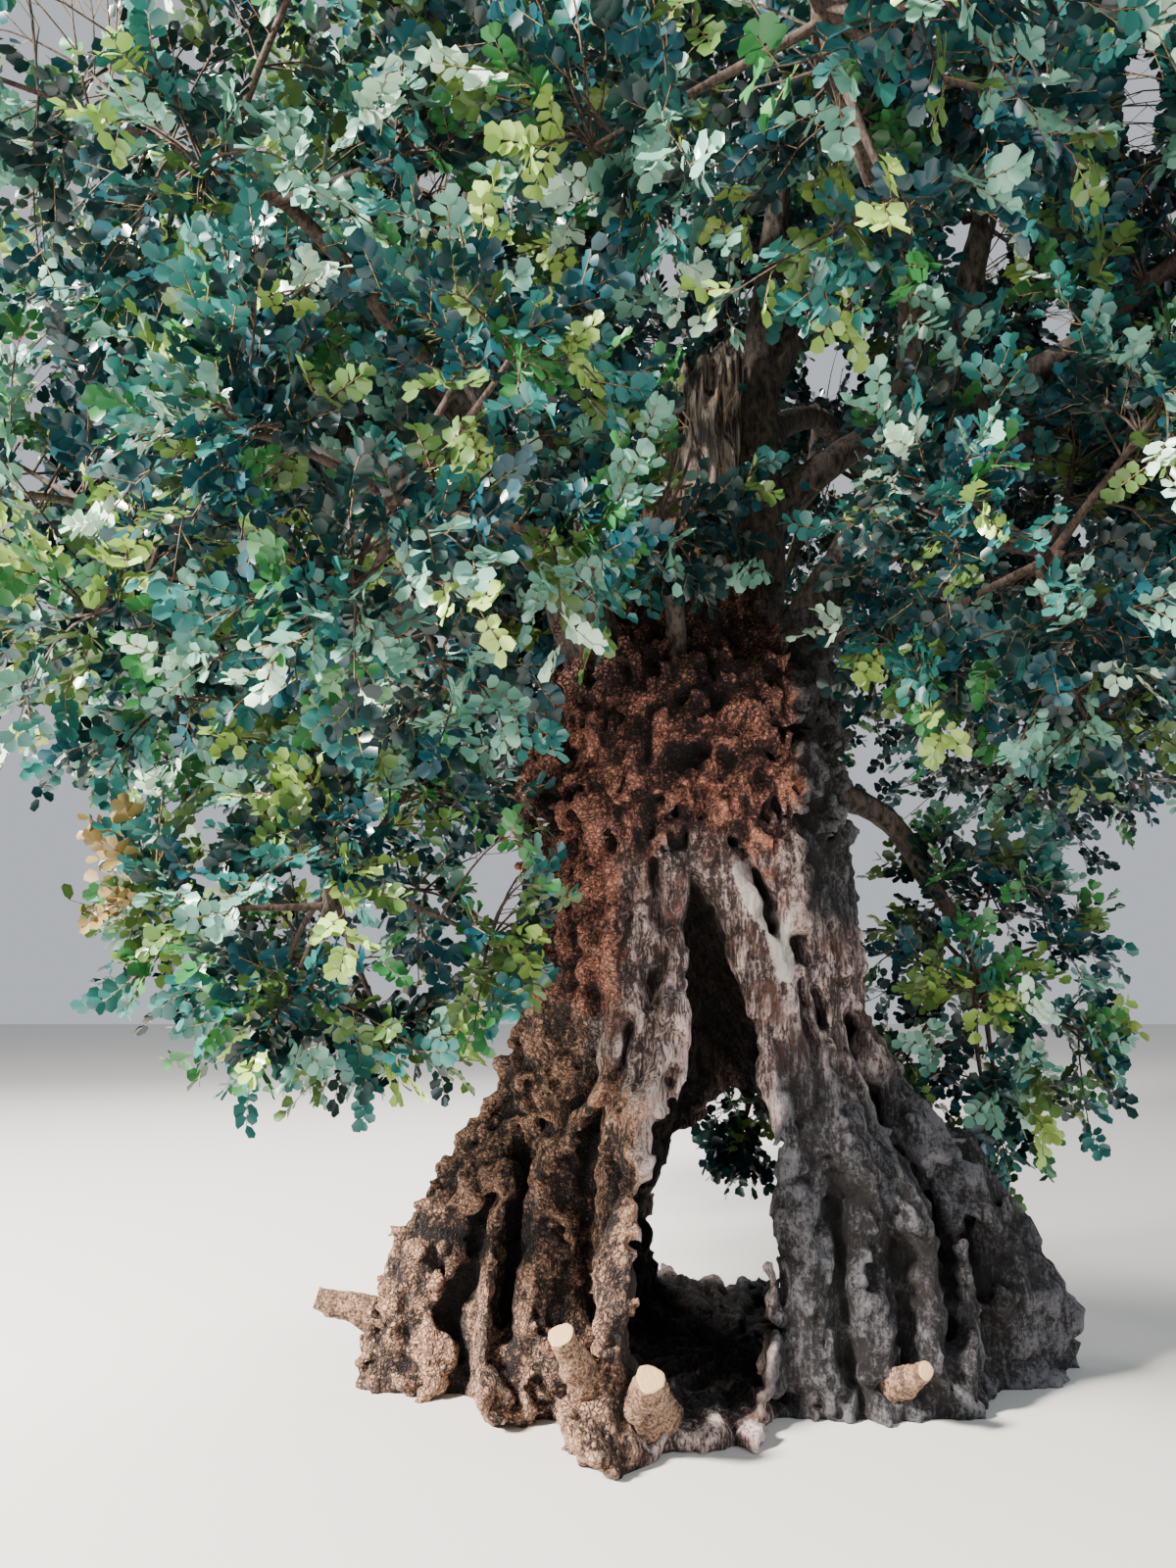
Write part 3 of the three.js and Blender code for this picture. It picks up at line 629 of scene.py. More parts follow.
# %% Carve the trunk
TRUNK_BLOCK = ((-1.40, 1.30), (-1.12, 1.14), (-0.06, 2.86))
VOXEL = 0.0122
SKIN_BAND = 0.19
FILLET = dict(top=0.16, limb=0.11, lip=0.035)
CHAINS = [
    # balls (x, y, z, radius) from low to high, and how softly they are joined on: first the live stem
    ([(0.30, 0.02, 1.35, 0.09), (0.31, 0.05, 1.8, 0.12), (0.26, 0.08, 2.3, 0.13)], 0.09),
    # the sill of the mouth
    ([(-0.44, -0.62, 0.05, 0.1), (-0.36, -0.66, 0.07, 0.075), (-0.3, -0.7, 0.12, 0.05)], 0.05),
    ([(-0.2, -0.62, 0.0, 0.09), (-0.05, -0.6, 0.02, 0.08)], 0.05),
    # the step on the right
    ([(0.80, -0.08, 0.3, 0.20), (0.83, -0.06, 0.5, 0.12), (0.80, -0.05, 0.70, 0.035)], 0.06),
    # dead wood that runs up towards the leader
    ([(-0.31, -0.27, 2.1, 0.15), (-0.29, -0.16, 2.45, 0.10), (-0.27, -0.08, 2.74, 0.04)], 0.07),
    ([(-0.08, -0.33, 2.1, 0.14), (-0.07, -0.2, 2.5, 0.08), (-0.08, -0.14, 2.82, 0.035)], 0.07),
    ([(-0.45, -0.05, 2.1, 0.16), (-0.42, 0.0, 2.45, 0.09), (-0.38, 0.04, 2.66, 0.04)], 0.07),
    ([(0.08, -0.22, 2.1, 0.14), (0.05, -0.12, 2.45, 0.08), (0.02, -0.05, 2.7, 0.03)], 0.07),
]
TRUNK_TRIANGLES = 190000


def soft_least(a, b, width):
    mixed = np.clip(0.5 + 0.5 * (b - a) / width, 0, 1)
    return b + (a - b) * mixed - width * mixed * (1 - mixed)


def beyond_chain(points, chain):
    """How far points are outside a chain of balls, each given as (x, y, z, radius)."""
    nearest = np.full(points.shape[:-1], 9.0, np.float32)
    for low, high in zip(chain, chain[1:]):
        low, high = np.array(low, np.float32), np.array(high, np.float32)
        span = high[:3] - low[:3]
        share = np.clip((points - low[:3]) @ span / (span @ span), 0, 1)
        gap = np.linalg.norm(points - low[:3] - share[..., None] * span, axis=-1)
        nearest = np.minimum(nearest, gap - (low[3] + (high[3] - low[3]) * share))
    return nearest


def add_chain(field, axes, chain, width):
    """Joins a chain of balls to the field, in the part of the block that it can change."""
    reach = max(ball[3] for ball in chain) + 2 * width + 0.1
    centres = np.array([ball[:3] for ball in chain])
    part = tuple(
        slice(*np.searchsorted(axis, (low, high)))
        for axis, low, high in zip(axes, centres.min(0) - reach, centres.max(0) + reach)
    )
    points = np.stack(np.meshgrid(*(axis[s] for axis, s in zip(axes, part)), indexing="ij"), axis=-1)
    field[part] = soft_least(field[part], beyond_chain(points, chain), width)


def true_distance(field, voxel):
    """Evens out a field whose slope isn't 1, so that relief is as deep as it says."""
    slope = np.sqrt(sum(g**2 for g in np.gradient(field, voxel)))
    return field / np.maximum(1, slope)


def skin_of(field, axes, voxel):
    """Vertices and faces of the skin where the field is 0."""
    grid = openvdb.FloatGrid(background=4 * voxel)
    grid.copyFromArray(np.ascontiguousarray(np.clip(field, -4 * voxel, 4 * voxel)))
    points, _, quads = grid.convertToPolygons(isovalue=0.0, adaptivity=0.0)
    return largest_part(points * voxel + np.array([axis[0] for axis in axes]), quads)


def largest_part(points, faces):
    """Leaves out crumbs that hang free of the rest, and bubbles inside it."""
    label = np.arange(len(points))
    while True:
        spread = label.copy()
        np.minimum.at(spread, faces.ravel(), np.repeat(label[faces].min(1), faces.shape[1]))
        spread = spread[spread]
        if (spread == label).all():
            break
        label = spread
    kept = label == np.bincount(label).argmax()
    return points[kept], (np.cumsum(kept) - 1)[faces[kept[faces[:, 0]]]]


def cloud_of(name, points):
    """A mesh that has only points yet."""
    mesh = bpy.data.meshes.new(name)
    mesh.vertices.add(len(points))
    mesh.vertices.foreach_set("co", np.asarray(points, np.float32).ravel())
    return mesh


def mesh_of(name, points, faces):
    """A smooth mesh from arrays of points and of triangles or quads."""
    mesh = cloud_of(name, points)
    mesh.loops.add(faces.size)
    mesh.loops.foreach_set("vertex_index", faces.ravel().astype(np.int32))
    mesh.polygons.add(len(faces))
    mesh.polygons.foreach_set("loop_start", np.arange(0, faces.size, faces.shape[1], dtype=np.int32))
    mesh.update()
    mesh.shade_smooth()
    return mesh


def limb_collar(limb):
    shares = np.linspace(0, 0.32, 5)
    points, _ = along_bend(limb["bend"], shares)
    root, tip = limb["radii"]
    radii = (root + (tip - root) * shares) * np.linspace(1.3, 0.85, 5)
    return [(*point, radius) for point, radius in zip(points, radii)]


def carve_trunk():
    axes = [np.arange(low, high, VOXEL, dtype=np.float32) for low, high in TRUNK_BLOCK]
    field = true_distance(beyond_column(*axes), VOXEL)
    top = (axes[2] - FORK_HEIGHT - 0.01)[None, None, :]
    field = -soft_least(-field, -np.broadcast_to(top, field.shape), FILLET["top"])
    for limb in LIMBS:
        if limb["mass"]["name"] in TRUNK_BORNE:
            add_chain(field, axes, limb_collar(limb), FILLET["limb"])
    for chain, width in CHAINS:
        add_chain(field, axes, chain, width)
    field = -soft_least(-field, true_distance(beyond_hollow(*axes), VOXEL), FILLET["lip"])
    near = np.abs(field) < SKIN_BAND
    points = np.stack([axis[i] for axis, i in zip(axes, np.nonzero(near))], axis=1)
    print("relief at", len(points), "cubes of", field.size)
    field[near] -= relief(points)
    level = -axes[2][None, None, :]
    return skin_of(np.maximum(field, level), axes, VOXEL)


def thinned(name, mesh, triangles):
    """A piece with the mesh brought down to about that many triangles, where it is flattest first."""
    holder = linked(bpy.data.objects.new(name + "_full", mesh))
    modifier = holder.modifiers.new("thin", "DECIMATE")
    modifier.ratio = triangles / (2 * len(mesh.polygons))
    seen = holder.evaluated_get(bpy.context.evaluated_depsgraph_get())
    made = bpy.data.meshes.new_from_object(seen)
    made.name = name
    bpy.data.objects.remove(holder)
    points = points_of(made)
    points[:, 2] = np.maximum(points[:, 2], 0)
    made.vertices.foreach_set("co", points.ravel())
    made.shade_smooth()
    return linked(bpy.data.objects.new(name, made))


def points_of(mesh):
    points = np.empty(len(mesh.vertices) * 3, np.float32)
    mesh.vertices.foreach_get("co", points)
    return points.reshape(-1, 3)


points, faces = carve_trunk()
print("the trunk's skin has", len(points), "points and", 2 * len(faces), "triangles")
trunk = thinned("trunk_bark", mesh_of("trunk_full", points, faces), TRUNK_TRIANGLES)
print("thinned to", len(trunk.data.polygons), "faces")

# %% [markdown]
# ### What covers the trunk
# No picture is laid on the bark. Each point of the skin carries a few numbers, worked out here: how deep it lies in
# a crease, or under the leaves at the top of the burl, where painted shade darkens it; how high on a crest, where a
# painted highlight lightens it; how far inside the hollow, painted near black as shade; how much painted shade, a cool
# dark grey, lies on the right leg and the stem above it; and how much of the rust-red rot of the burl, the brown of
# the left lobe or the pale strip of bare wood it has. The material mixes colours by them.

# %% Numbers for the bark
BARE_STRIP = [(-0.005, 1.62), (0.04, 1.51), (0.10, 1.43), (0.125, 1.31)]
BARE_WIDTH = 0.042
LEVEL_STEP = 0.04  # between the heights at which the column is measured


def write_numbers(mesh, **numbers):
    for name, values in numbers.items():
        mesh.attributes.new(name, "FLOAT", "POINT").data.foreach_set("value", values.astype(np.float32))


def depth_in_column(points):
    """How far points are inside the plain column."""
    heights = np.arange(0, 3, LEVEL_STEP)
    table = np.array([trunk_reach(height) for height in heights])
    axis_x, axis_y = trunk_axis(points[:, 2])
    dx, dy = points[:, 0] - axis_x, points[:, 1] - axis_y
    level = np.clip(points[:, 2] / LEVEL_STEP, 0, len(heights) - 1.01)
    low, share = level.astype(int), level % 1
    degree = (np.degrees(np.arctan2(dy, dx)) % 360).astype(int)
    reach = table[low, degree] * (1 - share) + table[low + 1, degree] * share
    return reach - np.hypot(dx, dy)


points = points_of(trunk.data)
x, y, z = points.T
raised, fine = relief(points), bark_relief(points)
deep = depth_in_column(points)
write_numbers(
    trunk.data,
    # Painted shade: dark in the creases of the bark and, from 2 m up, a painted shadow of the leaves over the top of
    # the burl.
    crease=np.maximum.reduce(
        [eased(-raised, 0.02, 0.085), 0.95 * eased(-fine, 0.012, 0.052), 0.5 * eased(z, 2.0, 2.35)]
    ),
    # Painted highlight on the tops of the ridges.
    crest=eased(fine, -0.022, 0.032),
    # Painted shade: deep inside the hollow, which the material turns near black.
    hollow=eased(deep - np.abs(raised), 0.04, 0.13) * eased(1.75 - z, 0, 0.15),
    rot=np.maximum(eased(z, 1.4, 2.0), 0.75 * eased(-x, 0.3, 0.46) * eased(z, 0.9, 1.4))
    * (1 - 0.95 * eased(x, 0.08, 0.26)) * (1 - 0.5 * eased(z, 2.35, 2.9)),
    lobe=np.maximum(eased(-x, 0.25, 0.45) * (1 - eased(z, 0.75, 1.2)), 0.8 * eased(-x, 0.35, 0.6)),
    # Painted shade: the lower right leg and the live stem on the right shoulder, as if in shade.
    shade=eased(x, -0.07, 0.15) * (1 - 0.75 * eased(z, 0.5, 1.4)) + eased(x, 0.14, 0.28) * eased(z, 1.3, 1.8),
    bare=np.exp(-((gap_to_path(x, z, BARE_STRIP) / BARE_WIDTH) ** 2)) * eased(-y, 0.1, 0.3),
)
print("deepest crease", round(float(raised.min()), 3), "m; inside the hollow:", int((deep > 0.2).sum()), "points")

# %% The bark's finish


def new_finish(name):
    finish = bpy.data.materials.new(name)
    finish.use_nodes = True
    recipe = Recipe(finish.node_tree)
    return finish, recipe, finish.node_tree.nodes["Principled BSDF"]


def stretched(recipe, scale):
    """Object coordinates, scaled along each axis."""
    place = recipe.node("ShaderNodeTexCoord", out=3)
    return recipe.node("ShaderNodeMapping", {"vector_type": "POINT"}, {"Vector": place, "Scale": scale})


def noise(recipe, place, scale, detail=4.0, roughness=0.6, distortion=0.0):
    sockets = {"Vector": place, "Scale": scale, "Detail": detail, "Roughness": roughness, "Distortion": distortion}
    return recipe.node("ShaderNodeTexNoise", {}, sockets)


def cracks(recipe, place, scale):
    """0 in the cracks between plates of bark."""
    settings = {"feature": "DISTANCE_TO_EDGE"}
    return recipe.node("ShaderNodeTexVoronoi", settings, {"Vector": place, "Scale": scale})


def number(recipe, name):
    return recipe.node("ShaderNodeAttribute", {"attribute_name": name}, out=2)


def finish_surface(recipe, shader, colour, roughness, height, depth):
    bump = recipe.node("ShaderNodeBump", {}, {"Height": height, "Strength": 1.0, "Distance": depth})
    links = recipe.tree.links
    links.new(colour.socket, shader.inputs["Base Color"])
    links.new(roughness.socket, shader.inputs["Roughness"])
    links.new(bump.socket, shader.inputs["Normal"])


def warped(recipe, place, scale, amount):
    """Coordinates pushed about by noise, so that a pattern on them isn't regular."""
    push = recipe.node("ShaderNodeTexNoise", {}, {"Vector": place, "Scale": scale, "Detail": 3.0}, out=1)
    push = recipe.node("ShaderNodeVectorMath", {"operation": "SUBTRACT"}, {0: push, 1: (0.5, 0.5, 0.5)})
    push = recipe.node("ShaderNodeVectorMath", {"operation": "SCALE"}, {0: push, "Scale": amount})
    return recipe.node("ShaderNodeVectorMath", {"operation": "ADD"}, {0: place, 1: push})


def trunk_finish():
    finish, r, shader = new_finish("old_bark")
    plain, tall = stretched(r, (1, 1, 1)), stretched(r, (1, 1, 0.3))
    grain = noise(r, warped(r, tall, 5, 0.15), 26, 10, 0.74, 0.4)
    patches = noise(r, plain, 6, 7, 0.68)
    grit = noise(r, plain, 70, 8, 0.8)
    crumbs = cracks(r, warped(r, plain, 30, 0.03), 58).between(0.0, 0.22)
    # Pale flecks, laid only on the crests below: pale chips of bark and painted glints of light on the ridge tops.
    flecks_and_glints = noise(r, plain, 36, 5, 0.7).between(0.57, 0.63)
    lobe, rot, shade, crest = (number(r, name) for name in ("lobe", "rot", "shade", "crest"))
    crumbly = (lobe + rot).clamped()
    fibres = noise(r, warped(r, stretched(r, (1, 1, 0.13)), 3, 0.08), 105, 5, 0.65)
    # The crest number adds a little painted highlight to the tops of the ridges.
    fibrous = grain * 0.32 + grit * 0.24 + fibres * 0.36 + crest * 0.08
    gritty = grain * 0.4 + grit * 0.52 + crest * 0.08
    light = r.mix((crumbly + shade * 0.6).clamped(), fibrous, gritty).between(0.44, 0.575)

    def ragged(zone):
        return (zone + (patches - 0.5) * 1.3 + (grit - 0.5) * 0.7).between(0.32, 0.68)

    colour = r.mix(light, paint(64, 44, 41), paint(242, 216, 207))
    colour = r.mix(patches.between(0.50, 0.66) * 0.5, colour, paint(166, 112, 92))
    brown = r.mix(light, paint(32, 12, 6), paint(226, 172, 138))
    # Pale chips and painted glints on the crests of the brown bark.
    brown = r.mix(flecks_and_glints * crest * 0.8, brown, paint(238, 216, 196))
    colour = r.mix(ragged(lobe), colour, brown)
    # Painted shade: a cool dark grey where the right leg and the stem above it stand in shade.
    shade_grey = r.mix(light, paint(8, 10, 13), paint(88, 92, 100))
    colour = r.mix(ragged(shade) * 0.93, colour, shade_grey)
    rust = r.mix(light, paint(48, 13, 9), paint(250, 166, 136))
    rust = r.mix(patches.between(0.42, 0.34) * 0.8, rust, paint(34, 14, 11))
    rust = r.mix(patches.between(0.58, 0.70) * 0.45, rust, paint(190, 98, 60))
    # Pale chips and painted glints on the crests of the rust.
    rust = r.mix(flecks_and_glints * crest * 0.6, rust, paint(244, 208, 190))
    colour = r.mix(ragged(rot), colour, rust)
    bare = r.mix(grain.between(0.35, 0.6), paint(160, 148, 140), paint(226, 218, 210))
    colour = r.mix((number(r, "bare") + (grit - 0.5) * 0.9).between(0.40, 0.52), colour, bare)
    # Painted shade: near black in the creases, under the leaves at the top of the burl and in the fine cracks of the
    # crumbly bark.
    crack_shade = crumbly * (1 - crumbs)
    painted_shade = (number(r, "crease") * 0.95 + crack_shade * 0.5625 * (1 - number(r, "bare"))).clamped()
    colour = r.mix(painted_shade, colour, paint(17, 11, 10))
    # Painted shade: near black deep inside the hollow.
    colour = r.mix(number(r, "hollow") * 0.9, colour, paint(12, 8, 7))
    smooth = fibres * (1 - crumbly) * 0.25 + (1 - crumbly * 0.6) * 0.45
    height = grain * 0.4 + grit * 0.35 + smooth + crumbs * crumbly * 0.45
    finish_surface(r, shader, colour, 0.98 - light * 0.25, height, 0.045)
    return finish


trunk.data.materials.append(trunk_finish())
print("the bark mixes", len(trunk.data.materials[0].node_tree.nodes), "nodes")

# %% [markdown]
# ## The dead leader
# Over the fork stands what is left of the old leader: a dead spire with a broken, jagged crown and a thinner splinter
# beside it. Weather has opened its grain into deep upright flutes. It is a field as well, of finer cubes: two leaning
# columns, fluted by noise that is stretched along the grain and cut off at a height that jumps from flute
# to flute.

# %% Carve the leader
LEADER = [
    dict(
        foot=(-0.15, 0.0), tip=(-0.04, 0.1), crest=3.6, radii=(0.165, 0.16, 0.15, 0.145),
        rim=(0.22, 0.04, 0.14, 0.0, 0.09),
    ),
    dict(
        foot=(-0.23, 0.06), tip=(-0.25, 0.15), crest=3.42, radii=(0.12, 0.09, 0.062, 0.045),
        rim=(0.15, 0.06, 0.0, 0.03, 0.09),
    ),
]
WEATHER = dict(  # layers of noise, each given by its size and its height in metres
    stretch=0.12, jags=((0.028, 0.16), (0.07, 0.12)), flutes=((0.045, 0.026), (0.02, 0.009)), lumps=(0.12, 0.012),
)
LEADER_FOOT = FORK_HEIGHT - FORK["sunk"]
LEADER_BLOCK = ((-0.46, 0.24), (-0.32, 0.36), (LEADER_FOOT - 0.1, 3.98))
LEADER_VOXEL = 0.009


def layered(noise_kind, points, seed, layers):
    return sum(noise_kind(points, seed + i, size) * height for i, (size, height) in enumerate(layers))


def beyond_spire(points, spire, seed):
    share = (points[:, 2] - LEADER_FOOT) / (spire["crest"] - LEADER_FOOT)
    centre = [spire["foot"][k] + (spire["tip"][k] - spire["foot"][k]) * share for k in (0, 1)]
    dx, dy = points[:, 0] - centre[0], points[:, 1] - centre[1]
    around = np.degrees(np.arctan2(dy, dx)) % 360
    radius = np.interp(share, (0, 1 / 3, 2 / 3, 1), spire["radii"])
    radius = radius * (1 + 0.45 * (1 - eased(share, 0.0, 0.35)))
    rim = np.interp(around, np.arange(6) * 72, (*spire["rim"], spire["rim"][0]))
    wrapped = np.stack((dx, dy, points[:, 2] * WEATHER["stretch"]), axis=1).astype(np.float32)
    jag = layered(lattice_noise, wrapped, seed, WEATHER["jags"])
    top = spire["crest"] + rim * 0.85 + np.minimum(jag, 0.1) - 0.06
    flutes = layered(ridge_noise, wrapped, seed + 2, WEATHER["flutes"])
    size, height = WEATHER["lumps"]
    side = np.hypot(dx, dy) - radius - flutes - height * lattice_noise(points, seed + 4, size)
    return np.maximum(side, (points[:, 2] - top) * 0.35)


def carve_leader():
    axes = [np.arange(low, high, LEADER_VOXEL, dtype=np.float32) for low, high in LEADER_BLOCK]
    points = np.stack(np.meshgrid(*axes, indexing="ij"), axis=-1).reshape(-1, 3)
    field = soft_least(beyond_spire(points, LEADER[0], 21), beyond_spire(points, LEADER[1], 31), 0.03)
    field = np.maximum(field, LEADER_FOOT - points[:, 2]).reshape([len(axis) for axis in axes])
    return skin_of(true_distance(field, LEADER_VOXEL), axes, LEADER_VOXEL)


def leader_finish():
    finish, r, shader = new_finish("dead_wood")
    tall = stretched(r, (1, 1, 0.06))
    grain, fibre = noise(r, tall, 60, 7, 0.7), noise(r, tall, 190, 4, 0.6)
    patches = noise(r, stretched(r, (1, 1, 0.5)), 7, 4)
    height = number(r, "height")
    grey = r.mix(grain.between(0.40, 0.60), paint(34, 29, 27), paint(176, 160, 144))
    rust = r.mix(grain.between(0.40, 0.60), paint(58, 26, 19), paint(204, 138, 104))
    tan = r.mix(fibre.between(0.35, 0.6), paint(166, 122, 84), paint(224, 188, 148))
    colour = r.mix((height + (patches - 0.5) * 0.8).between(0.3, 0.7), rust, grey)
    colour = r.mix(patches.between(0.56, 0.66) * height.between(0.3, 0.6) * 0.8, colour, tan)
    # Painted shade in the grooves between the flutes, mixed with dark streaks of the grain.
    colour = r.mix((number(r, "crease") * 0.95 + fibre.between(0.5, 0.36) * 0.5).clamped(), colour, paint(14, 10, 8))
    finish_surface(r, shader, colour, 0.95 - fibre * 0.2, grain * 0.6 + fibre * 0.5, 0.016)
    return finish


spire_points, spire_faces = carve_leader()
leader = linked(bpy.data.objects.new("leader_wood", mesh_of("leader_wood", spire_points, spire_faces)))
wrapped = (spire_points * (1, 1, WEATHER["stretch"])).astype(np.float32)
write_numbers(
    leader.data,
    height=(spire_points[:, 2] - LEADER_FOOT) / (LEADER[0]["crest"] - LEADER_FOOT),
    # Painted shade in the grooves between the flutes.
    crease=eased(-ridge_noise(wrapped - np.array((-0.1, 0.05, 0)), 23, 0.045), 0.3, 0.9),
)
leader.data.materials.append(leader_finish())
print("the leader has", 2 * len(spire_faces), "triangles and stands to", spire_points[:, 2].max().round(2), "m")

# %% [markdown]
# ## Sawn suckers
# Round the foot, shoots that came up from the base were sawn off. Each is a short lumpy stump that leans out of the
# wood and ends in a pale flat face. A ring of points is carried along its axis, knobbled by noise, and the end is
# closed with rings of its own, so that the face can show growth rings.

# %% Suckers
SUCKERS = [
    dict(start=(-0.47, -0.70, 0.13), end=(-0.575, -0.88, 0.35), radii=(0.056, 0.034)),
    dict(start=(-0.35, -0.64, 0.06), end=(-0.335, -0.90, 0.245), radii=(0.080, 0.038)),
    dict(start=(-1.08, -0.06, 0.16), end=(-1.39, -0.11, 0.255), radii=(0.060, 0.033)),
    dict(start=(0.40, -0.33, 0.04), end=(0.455, -0.64, 0.19), radii=(0.060, 0.024)),
]
STUMP = dict(sides=28, rings=22, cut_rings=5, lumps=0.2, flare=0.35)


def stump_mesh(name, start, end, radii, seed):
    start, end = np.array(start), np.array(end)
    along = unit(end - start)
    across = unit(np.cross(UP, along))
    frame_axes = np.array((across, np.cross(along, across)))
    turn = np.arange(STUMP["sides"]) * TURN / STUMP["sides"]
    ring = np.stack((np.cos(turn), np.sin(turn)), axis=1) @ frame_axes
    rows, cuts = [np.repeat(start[None], len(ring), axis=0)], [np.zeros(len(ring))]
    for share in np.linspace(0, 1, STUMP["rings"]):
        radius = radii[0] + (radii[1] - radii[0]) * share + radii[0] * STUMP["flare"] * (1 - share) ** 3
        row = start + (end - start) * share + ring * radius
        at = row.astype(np.float32)
        bumps = lattice_noise(at, seed, 0.03) + 0.6 * lattice_noise(at, seed, 0.013)
        rows.append(row + ring * (bumps * STUMP["lumps"] * radius)[:, None])
        cuts.append(np.full(len(row), 0.0))
    rim = rows[-1] - end
    for share in np.linspace(0.93, 0.0, STUMP["cut_rings"]):
        rows.append(end + rim * share + along * 0.002)
        cuts.append(np.full(len(rim), 1.0 + share))
    sides, count = STUMP["sides"], len(rows)
    faces = np.array([
        (r * sides + s, r * sides + (s + 1) % sides, (r + 1) * sides + (s + 1) % sides, (r + 1) * sides + s)
        for r in range(count - 1) for s in range(sides)
    ])
    points = np.concatenate(rows)
    points[:, 2] = np.maximum(points[:, 2], 0)
    mesh = mesh_of(name, points, faces)
    write_numbers(mesh, cut=np.concatenate(cuts))
    shell = bmesh.new()
    shell.from_mesh(mesh)
    bmesh.ops.remove_doubles(shell, verts=shell.verts, dist=1e-6)
    bmesh.ops.recalc_face_normals(shell, faces=shell.faces)
    shell.to_mesh(mesh)
    shell.free()
    return mesh


def sucker_finish():
    finish, r, shader = new_finish("sucker_bark")
    plain = stretched(r, (1, 1, 1))
    grit, patches = noise(r, plain, 120, 6, 0.7), noise(r, plain, 26, 4, 0.6)
    cut = number(r, "cut")
    colour = r.mix(grit.between(0.40, 0.60), paint(50, 35, 26), paint(168, 130, 102))
    colour = r.mix(patches.between(0.5, 0.65) * 0.7, colour, paint(44, 30, 23))
    rings = cut.maths("SINE", cut * 60) * 0.5 + 0.5
    sawn = r.mix(rings * 0.5 + patches * 0.3, paint(212, 180, 134), paint(158, 118, 80))
    colour = r.mix(cut.between(0.5, 0.9), colour, sawn)
    finish_surface(r, shader, colour, 0.95 - grit * 0.15, grit * 0.7 + patches * 0.4, 0.008)
    return finish


sucker_bark = sucker_finish()
suckers = []
for i, sucker in enumerate(SUCKERS):
    name = f"sucker_stump_{i + 1}"
    piece = linked(bpy.data.objects.new(name, stump_mesh(name, seed=41 + i, **sucker)))
    piece.data.materials.append(sucker_bark)
    suckers.append(piece)
print(len(suckers), "suckers")

# %% [markdown]
# ## Limbs as tubes
# Limbs, twigs and leaf stalks are all round wood along a line, so one Geometry Nodes tree makes them: it turns
# edges into curves, draws a circle along each, scaled by the number `thickness` at each point, roughens the
# bark along its normals, and sets the material. A line's points come from the rule of the limbs.

# %% The tube tree


def tree_with(name, **inputs):
    """A Geometry Nodes tree's recipe, and a wire from each of its named inputs."""
    tree = bpy.data.node_groups.new(name, "GeometryNodeTree")
    for label, kind in inputs.items():
        tree.interface.new_socket(label, in_out="INPUT", socket_type="NodeSocket" + kind)
    tree.interface.new_socket("Made", in_out="OUTPUT", socket_type="NodeSocketGeometry")
    recipe, given = Recipe(tree), tree.nodes.new("NodeGroupInput").outputs
    return recipe, *(Wire(recipe, given[label]) for label in inputs)


def ended(recipe, made, finish):
    """The tree, with real faces in their material as what it gives."""
    made = recipe.node("GeometryNodeRealizeInstances", {}, {0: made})
    made = recipe.node("GeometryNodeSetMaterial", {}, {"Geometry": made, "Material": finish})
    recipe.tree.links.new(made.socket, recipe.tree.nodes.new("NodeGroupOutput").inputs[0])
    return recipe.tree


def carried(recipe, name, kind="FLOAT"):
    """A number or vector that each point of the source mesh carries."""
    return recipe.node("GeometryNodeInputNamedAttribute", {"data_type": kind}, {"Name": name})


def tube_tree():
    inputs = dict(Lines="Geometry", Sides="Int", Relief="Float", Grain="Float", Finish="Material")
    r, lines, sides, depth, grain, wood = tree_with("round_wood", **inputs)
    curves = r.node("GeometryNodeMeshToCurve", {}, {0: lines})
    circle = r.node("GeometryNodeCurvePrimitiveCircle", {"mode": "RADIUS"}, {"Resolution": sides, "Radius": 1.0})
    thickness = carried(r, "thickness")
    sockets = {"Curve": curves, "Profile Curve": circle, "Scale": thickness, "Fill Caps": True}
    tubes = r.node("GeometryNodeCurveToMesh", {}, sockets)
    place, normal = r.node("GeometryNodeInputPosition"), r.node("GeometryNodeInputNormal")
    squashed = r.node("ShaderNodeVectorMath", {"operation": "MULTIPLY"}, {0: place, 1: (1.0, 1.0, 0.4)})
    bumps = noise(r, squashed, grain, 5.0, 0.65) - 0.5
    out = r.node("ShaderNodeVectorMath", {"operation": "SCALE"}, {0: normal, "Scale": bumps * depth * thickness})
    tubes = r.node("GeometryNodeSetPosition", {}, {"Geometry": tubes, "Offset": out})
    return ended(r, tubes, wood)


def grown(name, source, tree, **inputs):
    """The plain mesh that a Geometry Nodes tree makes of a source mesh, as a new piece."""
    holder = linked(bpy.data.objects.new(name + "_source", source))
    modifier = holder.modifiers.new("grow", "NODES")
    modifier.node_group = tree
    identifiers = {item.name: item.identifier for item in tree.interface.items_tree}
    for key, value in inputs.items():
        modifier[identifiers[key]] = value
    seen = holder.evaluated_get(bpy.context.evaluated_depsgraph_get())
    mesh = bpy.data.meshes.new_from_object(seen)
    mesh.name = name
    bpy.data.objects.remove(holder)
    mesh.shade_smooth()
    return linked(bpy.data.objects.new(name, mesh))


def lines_mesh(name, lines):
    """Edges through each line's points. A line is its points and its radius at each of them."""
    points = np.concatenate([line[0] for line in lines])
    counts = np.array([len(line[0]) for line in lines])
    starts = np.repeat(np.cumsum(counts) - counts, counts - 1)
    steps = np.concatenate([np.arange(count - 1) for count in counts])
    edges = np.stack((starts + steps, starts + steps + 1), axis=1)
    mesh = cloud_of(name, points)
    mesh.edges.add(len(edges))
    mesh.edges.foreach_set("vertices", edges.astype(np.int32).ravel())
    write_numbers(mesh, thickness=np.concatenate([line[1] for line in lines]))
    return mesh


